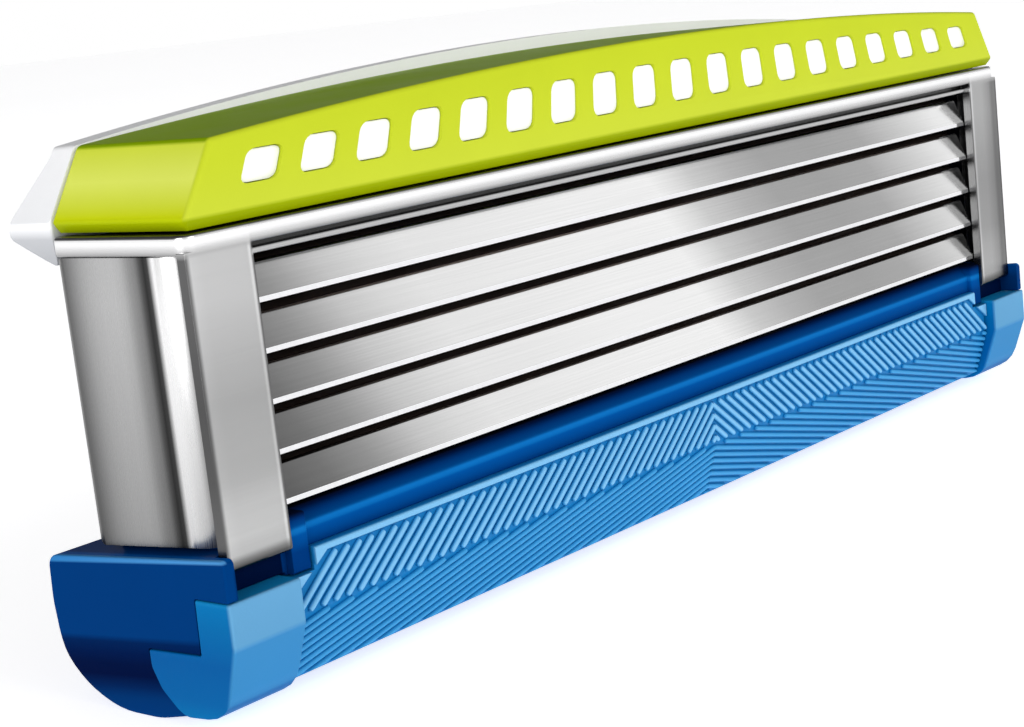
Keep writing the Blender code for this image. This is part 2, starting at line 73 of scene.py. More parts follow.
# Skin guard
GUARD_HALF = 18.15
GUARD_LOW = -3.42
GUARD_CREASE = -1.67
GUARD_TILT = math.atan2(0.6, 1.75)
GROOVE_DEPTH = 0.12

# Stamped metal
SHEET = 0.3
FACE_HALF = 20.1
WINDOW_HALF = 18.0
FACE_BACK = 4.9

# Blade pack
BLADES = 5
BLADE_PITCH = 1.25
TOP_EDGE_Z = 6.16
EDGE_Y = 0.3
BLADE_TILT = math.radians(22)
BLADE_HALF = 17.97
BLADE_WIDTH = 1.0
TAIL_RISE = 0.9
SUPPORT_BACK = 3.2

# Gel reservoir
RESERVOIR_LOW = 8.14
RESERVOIR_BACK = 5.0
GEL_WINDOWS = 19
GEL_WINDOW_PITCH = 1.915
SHELL_CROWN = 10.95
SHELL_SHOULDER = (18.85, 10.17)

# Hinge of the reservoir and pivot of the dock
HINGE = (5.6, 7.5)
PIVOT = (8.6, 2.0)


# ---------------------------------------------------------------- nodes and colours


def linear(hex_colour):
    """An sRGB hex colour as linear RGBA."""
    parts = [int(hex_colour[i:i + 2], 16) / 255 for i in (1, 3, 5)]
    return [*(c / 12.92 if c <= 0.04045 else ((c + 0.055) / 1.055) ** 2.4 for c in parts), 1.0]


def add(tree, kind, values=None, links=None, **settings):
    """Adds a node with its settings, the values of its free inputs and what feeds the others."""
    made = tree.nodes.new(kind)
    for name, value in settings.items():
        setattr(made, name, value)
    for name, value in (values or {}).items():
        made.inputs[name].default_value = value
    for name, source in (links or {}).items():
        tree.links.new(source, made.inputs[name])
    return made


def blank_material(name):
    """A material with an empty Principled shader. Returns it, its tree, the shader and Object coordinates."""
    made = bpy.data.materials.new(name)
    made.use_nodes = True
    tree = made.node_tree
    tree.nodes.clear()
    shader = add(tree, "ShaderNodeBsdfPrincipled")
    add(tree, "ShaderNodeOutputMaterial", links={"Surface": shader.outputs["BSDF"]})
    coords = add(tree, "ShaderNodeTexCoord").outputs["Object"]
    return made, tree, shader, coords


def per_mm(size):
    """The texture scale that gives features of a size in millimetres, on coordinates in metres."""
    return 1.0 / (size * MM)


def ramp(tree, factor, stops):
    """A colour ramp of (position, hex colour) stops."""
    made = add(tree, "ShaderNodeValToRGB", links={"Fac": factor})
    points = made.color_ramp.elements
    while len(points) < len(stops):
        points.new(1.0)
    for point, (position, colour) in zip(points, stops):
        point.position = position
        point.color = linear(colour)
    return made.outputs["Color"]


def sum_of(tree, operation, first, second=None, third=None):
    """One step of arithmetic. A term is a number or what comes out of another node."""
    made = add(tree, "ShaderNodeMath", operation=operation)
    for index, term in enumerate((first, second, third)):
        if term is None:
            continue
        if isinstance(term, (int, float)):
            made.inputs[index].default_value = term
        else:
            tree.links.new(term, made.inputs[index])
    return made.outputs[0]


def share_of(tree, value, low, high, first=0.0, last=1.0):
    """Where a value stands between two others, from first to last and no further."""
    sizes = {"From Min": low, "From Max": high, "To Min": first, "To Max": last}
    return add(tree, "ShaderNodeMapRange", sizes, {"Value": value}).outputs["Result"]


def tone_along(tree, value, stops):
    """A tone that changes with a value: stops of (value, hex colour), or (value, grey level) for steel."""
    low, high = stops[0][0], stops[-1][0]
    spread = [
        ((at - low) / (high - low), tone if isinstance(tone, str) else "#" + 3 * f"{tone:02X}") for at, tone in stops
    ]
    return ramp(tree, share_of(tree, value, low, high), spread)


def mixed(tree, factor, first, second, way="MIX"):
    """Two colours mixed."""
    made = add(tree, "ShaderNodeMix", {"Factor": 1.0}, {6: first, 7: second}, data_type="RGBA", blend_type=way)
    if factor is not None:
        tree.links.new(factor, made.inputs[0])
    return made.outputs[2]


def places(tree, coords):
    """Object coordinates as millimetres from the datum."""
    shift = add(tree, "ShaderNodeMapping", {"Location": -DATUM / MM, "Scale": (1 / MM,) * 3}, {"Vector": coords})
    return add(tree, "ShaderNodeSeparateXYZ", links={"Vector": shift.outputs["Vector"]}).outputs


def coloured(tree, coords, tone, pattern, contrast):
    """Two tones that follow a pattern, or a tone that changes over the piece, dimmed a little by the pattern."""
    if not callable(tone):
        return ramp(tree, pattern, ((0.35, tone[1]), (0.65, tone[0])))
    dim = share_of(tree, pattern, 0.3, 0.7, 1.0 - contrast, 1.0)
    return mixed(tree, None, tone(tree, places(tree, coords)), dim, "MULTIPLY")


# ---------------------------------------------------------------- tones over a piece: painted light, shade and reflections


def housing_painted_shade_tone(tree, place):
    """Deep blue with painted light and shade: painted shade in the gutter and near-black painted shadow above it under
    the blades, a painted highlight along the gutter's ridge and along the ledge rim, the ledge tops lighter as painted
    light, and painted shade in the strip pockets, in the blade slots and where the flank of an end leans in under its
    crease.
    """
    x = sum_of(tree, "ABSOLUTE", place["X"])
    level = sum_of(tree, "MULTIPLY_ADD", place["Y"], CREASE_SLOPE, place["Z"])
    # painted shade on the flank under its crease, which faces down, and painted light on the ledge top
    end = tone_along(tree, level, END_PAINTED_LIGHT_AND_SHADE)
    # painted shade in the pocket that the foot of a face strip stands in
    pocket = sum_of(
        tree, "MULTIPLY", share_of(tree, place["Z"], 0.0, 0.3, 1.0, 0.0), share_of(tree, place["Y"], 0.6, 0.75, 1.0, 0.0)
    )
    painted_pocket_shade = tone_along(tree, pocket, ((0.0, "#003674"), (1.0, "#001034")))
    flank = mixed(tree, share_of(tree, x, 20.1, 20.25), painted_pocket_shade, end)
    # painted highlight along the outer edge of the ledge
    rim = sum_of(tree, "MULTIPLY", share_of(tree, x, 20.34, 20.4), share_of(tree, level, 0.36, 0.42))
    flank = mixed(tree, rim, flank, tone_along(tree, place["Y"], ((-0.3, "#4C90CC"), (6.5, "#2E78B8"))))
    # painted light and shade in the gutter: a painted highlight along its ridge, and near-black painted shadow from Z
    # 0.8 up, under and behind the blades
    gutter = tone_along(tree, place["Z"], GUTTER_PAINTED_LIGHT_AND_SHADE)
    # near-black painted shade behind the face strips, above the gutter and in front of Y 3.4, where the blade slots are
    window = sum_of(
        tree, "MULTIPLY", share_of(tree, place["Z"], 0.86, 0.92), share_of(tree, place["Y"], 3.4, 3.5, 1.0, 0.0)
    )
    flank = mixed(tree, window, flank, tone_along(tree, place["Z"], ((0.8, "#0A0B12"), (7.9, "#0A0B12"))))
    away = sum_of(tree, "MAXIMUM", share_of(tree, x, 18.1, 18.14), share_of(tree, place["Y"], 4.6, 4.7))
    return mixed(tree, away, gutter, flank)


# painted shade, darkest where the flank leans in under the crease; the lighter top is painted light on the ledge
END_PAINTED_LIGHT_AND_SHADE = (
    (-3.6, "#003470"), (-3.16, "#003068"), (-2.86, "#001F50"), (-2.56, "#000E38"), (-2.26, "#00103A"),
    (-1.96, "#001746"), (-1.66, "#002052"), (-1.5, "#003674"), (0.4, "#003674"), (0.48, "#0054A4"),
)
# painted highlight at Z 0.38 to 0.46, painted shadow from Z 0.8 up
GUTTER_PAINTED_LIGHT_AND_SHADE = (
    (-0.1, "#003474"), (0.1, "#00448A"), (0.3, "#004C96"), (0.38, "#0A66B0"), (0.46, "#0C6AB4"),
    (0.54, "#004284"), (0.68, "#003270"), (0.8, "#001640"), (0.9, "#0A0B12"), (7.9, "#0A0B12"),
)


def cap_painted_light_tone(tree, place):
    """Painted light and shade: paler on the front, which faces the lights, and deeper blue on the sides, with the front
    darker below the crease, where it leans down, and the sides lighter towards their top.
    """
    below = sum_of(tree, "MAXIMUM", 0.0, sum_of(tree, "SUBTRACT", GUARD_CREASE, place["Z"]))
    depth = sum_of(tree, "ADD", sum_of(tree, "MULTIPLY_ADD", below, -0.37, place["Y"]), 0.35)
    # painted shade: the front darker below the crease, where it faces down
    front = tone_along(
        tree, place["Z"], ((-3.6, "#3480B6"), (-1.76, "#3882B8"), (-1.6, "#5C98C2"), (-0.6, "#609CC6"))
    )
    # painted shade on the sides, deeper than the front and lighter towards the top
    side = tone_along(
        tree, place["Z"],
        (
            (-3.6, "#0068A4"), (-3.2, "#005C9C"), (-2.2, "#005698"), (-1.2, "#0066A4"), (-0.7, "#006EAC"),
            (-0.58, "#107CB6"),
        ),
    )
    return mixed(tree, share_of(tree, depth, 0.03, 0.14), front, side)


def shell_painted_light_tone(tree, place):
    """Lime with painted light and shade: painted shade on the chamfered chin, which faces down, the end facets lighter
    as painted light, and painted shade on the arched top.
    """
    # painted shade along the chin chamfer, which faces down
    face = tone_along(
        tree, place["Z"], ((8.14, "#8C9C00"), (8.36, "#92A200"), (8.46, "#C0CC36"), (9.6, "#BECB2C"), (11.0, "#BAC824"))
    )
    half, shoulder = SHELL_SHOULDER
    round_off = (SHELL_CROWN - shoulder) / half ** 2
    level = sum_of(tree, "MULTIPLY_ADD", sum_of(tree, "MULTIPLY", place["X"], place["X"]), round_off, place["Z"])
    # the arched top, which gets painted shade
    high = share_of(tree, level, SHELL_CROWN - 0.12, SHELL_CROWN - 0.05)
    top = sum_of(tree, "MULTIPLY", high, share_of(tree, place["Y"], 0.06, 0.16))
    # painted light on the end facets, with their chin in painted shade
    flank = tone_along(
        tree, place["Z"], ((8.14, "#96A600"), (8.36, "#A4B400"), (8.5, "#C8D414"), (9.3, "#DEE864"), (10.2, "#CCD838"))
    )
    face = mixed(tree, share_of(tree, place["Y"], 0.08, 0.16), face, flank)
    return mixed(tree, top, face, tone_along(tree, place["Y"], ((0.0, "#7E9C00"), (5.0, "#88A800"))))


def tray_painted_shade_tone(tree, place):
    """Milky white, with painted shade on the underside, which faces down."""
    # painted shade: greyer towards the bottom, on the sloping underside
    return tone_along(tree, place["Z"], ((7.3, "#AEB0B4"), (8.0, "#BEC0C4"), (8.3, "#F4F5F7"), (11.4, "#FBFBFC")))


def face_painted_reflection_tone(tree, place):
    """Painted reflections on the stamping: the rail with a painted highlight along its bead and a painted shadow over
    the lip under it, and the flat strips greyer, with painted highlights on their inner edges, painted shade on their
    outer edges and feet, and the right strip darker towards its outer edge.
    """
    x = sum_of(tree, "ABSOLUTE", place["X"])
    rail = tone_along(tree, place["Z"], RAIL_PAINTED_REFLECTION)
    strip = tone_along(tree, place["Z"], STRIP_PAINTED_REFLECTION)
    # painted highlight on each strip's inner edge and painted shade on its outer edge
    across = tone_along(
        tree, x, ((17.9, 150), (18.05, 150), (18.1, 230), (18.14, 230), (18.19, 208), (19.6, 210), (19.96, 216),
                  (20.06, 130), (20.12, 96))
    )
    # painted shade: the right strip darker towards its outer edge
    shaded = tone_along(tree, place["X"], ((18.1, 255), (18.25, 226), (18.9, 222), (19.5, 190), (19.7, 150)))
    across = mixed(tree, None, across, shaded, "MULTIPLY")
    low = share_of(tree, place["Z"], 7.5, 7.7)
    strip = mixed(tree, low, mixed(tree, None, strip, across, "MULTIPLY"), strip)
    return mixed(tree, share_of(tree, x, 18.03, 18.07), rail, strip)


# painted reflection: bright along the bead, a painted shadow in the gap over the lip
RAIL_PAINTED_REFLECTION = (
    (7.28, 100), (7.33, 175), (7.4, 182), (7.45, 124), (7.49, 60), (7.57, 60), (7.61, 112), (7.66, 160), (7.71, 192),
    (7.76, 206), (7.81, 222), (7.86, 240), (7.94, 246), (8.0, 205), (8.05, 130), (8.08, 90),
)
# painted reflection, with painted shade at the foot of the strip
STRIP_PAINTED_REFLECTION = (
    (0.0, 40), (0.12, 90), (0.25, 150), (0.4, 214), (0.8, 226), (1.5, 220), (2.2, 202), (4.0, 195), (5.2, 210),
    (6.5, 227), (7.5, 229), (7.6, 190), (7.7, 198), (7.78, 222), (7.86, 246), (7.94, 250), (8.0, 214), (8.05, 140),
    (8.08, 96),
)


def panel_painted_reflection_tone(tree, place):
    """Painted reflections on the side panel: a pale rear edge, a soft grey that deepens towards the bend into a painted
    shadow, and the bend bright with a painted highlight, all lighter towards the top.
    """
    along = tone_along(tree, place["Y"], PANEL_PAINTED_REFLECTION)
    # painted light: lighter towards the top
    down = tone_along(tree, place["Z"], ((0.55, 206), (1.5, 214), (4.0, 232), (6.5, 250)))
    return mixed(tree, None, along, down, "MULTIPLY")


PANEL_PAINTED_REFLECTION = (
    (0.5, 70), (0.66, 84), (0.74, 128), (0.8, 180), (0.88, 212), (1.05, 232), (1.2, 250), (1.38, 252), (1.48, 180),
    (1.57, 66), (1.72, 46), (1.88, 84), (2.05, 128), (2.3, 148), (2.6, 178), (2.9, 186), (3.4, 184), (3.8, 176),
    (4.1, 164), (4.4, 142), (4.7, 112), (4.8, 104), (4.86, 150), (4.9, 176),
)


def blade_painted_reflection_tone(tree, place):
    """Ground steel with its reflections painted into the colour, in long soft bands: grey at one end, white, then a
    grey patch that moves along from blade to blade."""
    above = sum_of(tree, "SUBTRACT", place["Z"], 4.0)
    # painted reflection: the bands slide along X with height, so the patch moves from blade to blade
    return tone_along(tree, sum_of(tree, "MULTIPLY_ADD", above, 0.55, place["X"]), BLADE_PAINTED_REFLECTION)


BLADE_PAINTED_REFLECTION = (
    (-19.0, 96), (-17.5, 116), (-16.0, 146), (-15.3, 164), (-14.0, 198), (-12.5, 218), (-11.0, 230), (-8.0, 235),
    (-4.0, 241), (0.0, 242), (1.0, 226), (2.0, 204), (4.0, 180), (6.0, 164), (9.0, 161), (12.0, 168), (14.0, 194),
    (16.0, 218), (17.5, 236), (19.0, 245),
)


# ---------------------------------------------------------------- finishes


def moulded_plastic(name, tone, roughness, specular=0.5, grain=0.07, relief=0.012):
    """ABS or polypropylene out of a polished steel mould: an even colour, or a tone over the piece that carries painted
    light and shade, soft gloss, faint flow marks and a spark-eroded grain, drawn at 0.07 mm because the real 0.02 mm
    would not show."""
    made, tree, shader, coords = blank_material(name)
    flow = add(tree, "ShaderNodeTexNoise", {"Scale": per_mm(3.5), "Detail": 3.0}, {"Vector": coords}).outputs["Fac"]
    spark = add(tree, "ShaderNodeTexNoise", {"Scale": per_mm(grain), "Detail": 2.0}, {"Vector": coords})
    bump = add(
        tree,
        "ShaderNodeBump",
        {"Strength": 0.25, "Distance": relief * MM},
        {"Height": spark.outputs["Fac"]},
    )
    gloss = share_of(tree, flow, 0.3, 0.7, roughness - 0.04, roughness + 0.04)
    tree.links.new(coloured(tree, coords, tone, flow, 0.04), shader.inputs["Base Color"])
    tree.links.new(gloss, shader.inputs["Roughness"])
    tree.links.new(bump.outputs["Normal"], shader.inputs["Normal"])
    shader.inputs["IOR"].default_value = 1.5
    shader.inputs["Specular IOR Level"].default_value = specular
    return made


def guard_rubber_painted_light():
    """TPE skin guard: painted highlights on the rib tops, painted shade that deepens to the bottom of each groove, and
    the lower band, which faces down, in darker painted shade.
    """
    made, tree, shader, coords = blank_material("ribbed TPE elastomer")
    place = places(tree, coords)
    above = sum_of(tree, "SUBTRACT", place["Z"], GUARD_CREASE)
    slant = sum_of(tree, "MULTIPLY", place["Y"], math.cos(GUARD_TILT))
    below = sum_of(tree, "MULTIPLY_ADD", above, math.sin(GUARD_TILT), slant)
    share = share_of(tree, sum_of(tree, "MINIMUM", place["Y"], below), 0.0, GROOVE_DEPTH)
    # painted highlight on the rib tops and painted shade in the grooves; the lower band, which faces down, gets darker
    # painted shade
    upper = ramp(tree, share, ((0.1, "#74B2DC"), (0.5, "#3490C8"), (0.9, "#0E70AE")))
    lower = ramp(tree, share, ((0.1, "#3A94CC"), (0.5, "#2484C0"), (0.9, "#0C74B4")))
    tone = mixed(tree, share_of(tree, above, -0.06, 0.06), lower, upper)
    matt = add(tree, "ShaderNodeTexNoise", {"Scale": per_mm(0.05), "Detail": 2.0}, {"Vector": coords})
    bump = add(
        tree, "ShaderNodeBump", {"Strength": 0.2, "Distance": 0.01 * MM}, {"Height": matt.outputs["Fac"]}
    )
    tree.links.new(tone, shader.inputs["Base Color"])
    tree.links.new(bump.outputs["Normal"], shader.inputs["Normal"])
    shader.inputs["Roughness"].default_value = 0.5
    shader.inputs["IOR"].default_value = 1.5
    shader.inputs["Specular IOR Level"].default_value = 0.12
    return made


def brushed_metal(name, tone, roughness, stretch, grain=0.03, contrast=0.05, relief=0.002):
    """Rolled strip steel, brushed or ground in one direction: long fine lines that change the tone a little
    and break up the reflections."""
    made, tree, shader, coords = blank_material(name)
    lay = add(tree, "ShaderNodeMapping", {"Scale": stretch}, {"Vector": coords})
    lines = add(
        tree,
        "ShaderNodeTexNoise",
        {"Scale": per_mm(grain), "Detail": 2.0, "Roughness": 0.5},
        {"Vector": lay.outputs["Vector"]},
    ).outputs["Fac"]
    bump = add(tree, "ShaderNodeBump", {"Strength": 0.2, "Distance": relief * MM}, {"Height": lines})
    tree.links.new(coloured(tree, coords, tone, lines, contrast), shader.inputs["Base Color"])
    tree.links.new(
        share_of(tree, lines, 0.3, 0.7, roughness - 0.03, roughness + 0.03), shader.inputs["Roughness"]
    )
    tree.links.new(bump.outputs["Normal"], shader.inputs["Normal"])
    shader.inputs["Metallic"].default_value = 1.0
    return made


def white_gel():
    """Water-based shaving gel, set in its windows: milky, wet and slightly see-through."""
    made, tree, shader, coords = blank_material("set shaving gel")
    swirl = add(tree, "ShaderNodeTexNoise", {"Scale": per_mm(1.5), "Detail": 2.0}, {"Vector": coords})
    tone = ramp(tree, swirl.outputs["Fac"], ((0.3, "#F4F6F4"), (0.7, "#FFFFFF")))
    bump = add(
        tree, "ShaderNodeBump", {"Strength": 0.15, "Distance": 0.03 * MM}, {"Height": swirl.outputs["Fac"]}
    )
    tree.links.new(tone, shader.inputs["Base Color"])
    tree.links.new(bump.outputs["Normal"], shader.inputs["Normal"])
    shader.inputs["Roughness"].default_value = 0.25
    shader.inputs["IOR"].default_value = 1.36
    shader.inputs["Subsurface Weight"].default_value = 0.15
    shader.inputs["Subsurface Radius"].default_value = (0.4 * MM, 0.4 * MM, 0.4 * MM)
    shader.inputs["Subsurface Scale"].default_value = 1.0
    return made


def make_finishes():
    """Every finish of the cartridge, by a short name."""
    along_x, along_z = (0.008, 1.0, 1.0), (1.0, 1.0, 0.012)
    return {
        "navy": moulded_plastic("moulded navy ABS", housing_painted_shade_tone, 0.42, 0.004),
        "sky": moulded_plastic("moulded sky blue ABS", cap_painted_light_tone, 0.42, 0.02),
        "guard": guard_rubber_painted_light(),
        "rail": brushed_metal("satin steel face", face_painted_reflection_tone, 0.24, along_x),
        "panel": brushed_metal("satin steel panel", panel_painted_reflection_tone, 0.28, along_z, 0.03, 0.03, 0.0004),
        "blade": brushed_metal("ground blade steel", blade_painted_reflection_tone, 0.16, along_x, 0.04, 0.06),
        "edge": brushed_metal("honed blade edge", ("#E6E6E8", "#DEDEE0"), 0.12, (1.0, 0.2, 0.2), 0.04, 0.03, 0.001),
        "carrier": brushed_metal("stamped steel carrier", ("#7E6F68", "#6C5E58"), 0.5, along_x),
        "lime": moulded_plastic("moulded lime polypropylene", shell_painted_light_tone, 0.4, 0.02),
        "gel": white_gel(),
        "milky": moulded_plastic("milky polypropylene", tray_painted_shade_tone, 0.4, 0.06),
        "acetal": moulded_plastic("dark grey acetal", ("#2E2F32", "#26272A"), 0.42, 0.4, 0.09),
        # the grille's navy, darkened to near black as painted shade, since it sits in shade behind the blades
        "inner": moulded_plastic("navy ABS darkened as painted shade", ("#04142E", "#030F24"), 0.5, 0.1),
        "pin": brushed_metal("turned pin steel", ("#C6C7C9", "#B4B6B8"), 0.24, (0.05, 1.0, 1.0)),
    }


# ---------------------------------------------------------------- shapes


def rounded(points, steps=4):
    """A closed outline with its corners rounded. A point is (u, v) or (u, v, radius)."""
    made = []
    for index, point in enumerate(points):
        corner = Vector(point[:2])
        if len(point) < 3:
            made.append(tuple(corner))
            continue
        before = Vector(points[index - 1][:2]) - corner
        after = Vector(points[(index + 1) % len(points)][:2]) - corner
        half = before.angle(after) / 2
        reach = min(point[2] / math.tan(half), before.length * 0.48, after.length * 0.48)
        radius = reach * math.tan(half)
        before.normalize()
        after.normalize()
        centre = corner + (before + after).normalized() * radius / math.sin(half)
        first = corner + before * reach - centre
        last = corner + after * reach - centre
        sweep = first.angle(last)
        for step in range(steps + 1):
            share = step / steps
            across = first * math.sin((1 - share) * sweep) + last * math.sin(share * sweep)
            made.append(tuple(centre + across / math.sin(sweep)))
    return made


def arc(centre, radius, first, last, steps):
    """Points on a circle from one angle to another, in degrees."""
    angles = [math.radians(first + (last - first) * i / steps) for i in range(steps + 1)]
    return [(centre[0] + radius * math.cos(a), centre[1] + radius * math.sin(a)) for a in angles]


def span(side, inner, outer):
    """The X range from inner to outer on one side, in ascending order."""
    return sorted((side * inner, side * outer))


def stand(name, shape):
    """Turns a bmesh into an object on the work bench, its faces pointing out."""
    bmesh.ops.recalc_face_normals(shape, faces=shape.faces)
    mesh = bpy.data.meshes.new(name)
    shape.to_mesh(mesh)
    shape.free()
    made = bpy.data.objects.new(name, mesh)
    bpy.context.scene.collection.objects.link(made)
    return made


def prism(name, outline, low, high, along, rim=0.0, steps=3):
    """An outline extruded from low to high along an axis, with the rims of both ends rounded."""
    order = {"X": lambda u, v, w: (w, u, v), "Y": lambda u, v, w: (u, w, v), "Z": lambda u, v, w: (u, v, w)}[along]
    shape = bmesh.new()
    near = [shape.verts.new(order(u, v, low)) for u, v in outline]
    far = [shape.verts.new(order(u, v, high)) for u, v in outline]
    caps = [shape.faces.new(near), shape.faces.new(far[::-1])]
    for index in range(len(outline)):
        after = (index + 1) % len(outline)
        shape.faces.new((near[index], far[index], far[after], near[after]))
    bmesh.ops.recalc_face_normals(shape, faces=shape.faces)
    if rim:
        edges = {edge for cap in caps for edge in cap.edges}
        bmesh.ops.bevel(
            shape, geom=list(edges), offset=rim, segments=steps, profile=0.5, affect="EDGES", clamp_overlap=True
        )
        bmesh.ops.remove_doubles(shape, verts=shape.verts, dist=0.0005)
    return stand(name, shape)


def block(name, low, high, soft=0.0, steps=3):
    """A box between two corners, all its edges rounded."""
    size = Vector(high) - Vector(low)
    middle = (Vector(high) + Vector(low)) / 2
    shape = bmesh.new()
    bmesh.ops.create_cube(shape, size=1.0, matrix=Matrix.Translation(middle) @ Matrix.Diagonal((*size, 1.0)))
    if soft:
        bmesh.ops.bevel(
            shape, geom=shape.edges[:], offset=soft, segments=steps, profile=0.5, affect="EDGES", clamp_overlap=True
        )
    return stand(name, shape)


def rod(name, low, high, centre, radius, rim=0.0, sides=40):
    """A turned rod along X, round the axis at centre (y, z)."""
    return prism(name, arc(centre, radius, 0, 360 - 360 / sides, sides - 1), low, high, "X", rim)


def hull(name, points):
    """The convex solid around some points."""
    shape = bmesh.new()
    for point in points:
        shape.verts.new(point)
    bmesh.ops.convex_hull(shape, input=shape.verts)
    return stand(name, shape)


def settle(made):
    """Takes an object's modifiers into its mesh."""
    graph = bpy.context.evaluated_depsgraph_get()
    mesh = bpy.data.meshes.new_from_object(made.evaluated_get(graph), depsgraph=graph)
    made.modifiers.clear()
    made.data = mesh
    return made


def combine(base, others, operation):
    """Joins to the base, cuts from it, or trims it to the other solids, and throws those away."""
    for other in others:
        step = base.modifiers.new(operation.lower(), "BOOLEAN")
        step.operation = operation
        step.solver = "MANIFOLD"
        step.object = other
    settle(base)
    for other in others:
        bpy.data.objects.remove(other, do_unlink=True)
    return base


def join(base, *others):
    return combine(base, others, "UNION")


def cut(base, *others):
    return combine(base, others, "DIFFERENCE")


def soften(made, width, angle=45.0, segments=2):
    """Rounds the edges that are still sharp."""
    step = made.modifiers.new("soft edges", "BEVEL")
    step.width = width
    step.segments = segments
    step.limit_method = "ANGLE"
    step.angle_limit = math.radians(angle)
    step.use_clamp_overlap = True
    return settle(made)


def piece(name, made, finish, body, slot, *nodes, sharp=35.0):
    """Puts a shape in its place in the row frame, gives it its finish, and hangs it on its body."""
    settle(made)
    mesh = made.data
    mesh.transform(Matrix.Translation(DATUM) @ Matrix.Scale(MM, 4))
    if not isinstance(finish, tuple):
        mesh.materials.clear()
        finish = (finish,)
    for layer in finish:
        mesh.materials.append(layer)
    mesh.shade_smooth()
    mesh.set_sharp_from_angle(angle=math.radians(sharp))
    even = made.modifiers.new("even normals", "WEIGHTED_NORMAL")
    even.keep_sharp = True
    settle(made)
    made.name = name
    made.data.name = name
    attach(made, body)
    if nodes:
        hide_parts(*nodes)
    return made


# ---------------------------------------------------------------- geometry node trees


def new_tree(name, sizes):
    """A tree that takes a shape and some named sizes. Returns it, its input and its output node."""
    tree = bpy.data.node_groups.new(name, "GeometryNodeTree")
    tree.interface.new_socket("Geometry", in_out="INPUT", socket_type="NodeSocketGeometry")
    for label, value in sizes:
        kind = "NodeSocketInt" if isinstance(value, int) else "NodeSocketFloat"
        tree.interface.new_socket(label, in_out="INPUT", socket_type=kind).default_value = value
    tree.interface.new_socket("Finish", in_out="INPUT", socket_type="NodeSocketMaterial")
    tree.interface.new_socket("Geometry", in_out="OUTPUT", socket_type="NodeSocketGeometry")
    return tree, tree.nodes.new("NodeGroupInput").outputs, tree.nodes.new("NodeGroupOutput")


def grow(made, tree, sizes, finish):
    """Runs a tree on an object with these sizes, and keeps the result as a plain mesh."""
    step = made.modifiers.new(tree.name, "NODES")
    step.node_group = tree
    given = {**sizes, "Finish": finish}
    for item in tree.interface.items_tree:
        if item.item_type == "SOCKET" and item.in_out == "INPUT" and item.name in given:
            step[item.identifier] = given[item.name]
    made.update_tag()
    return settle(made)


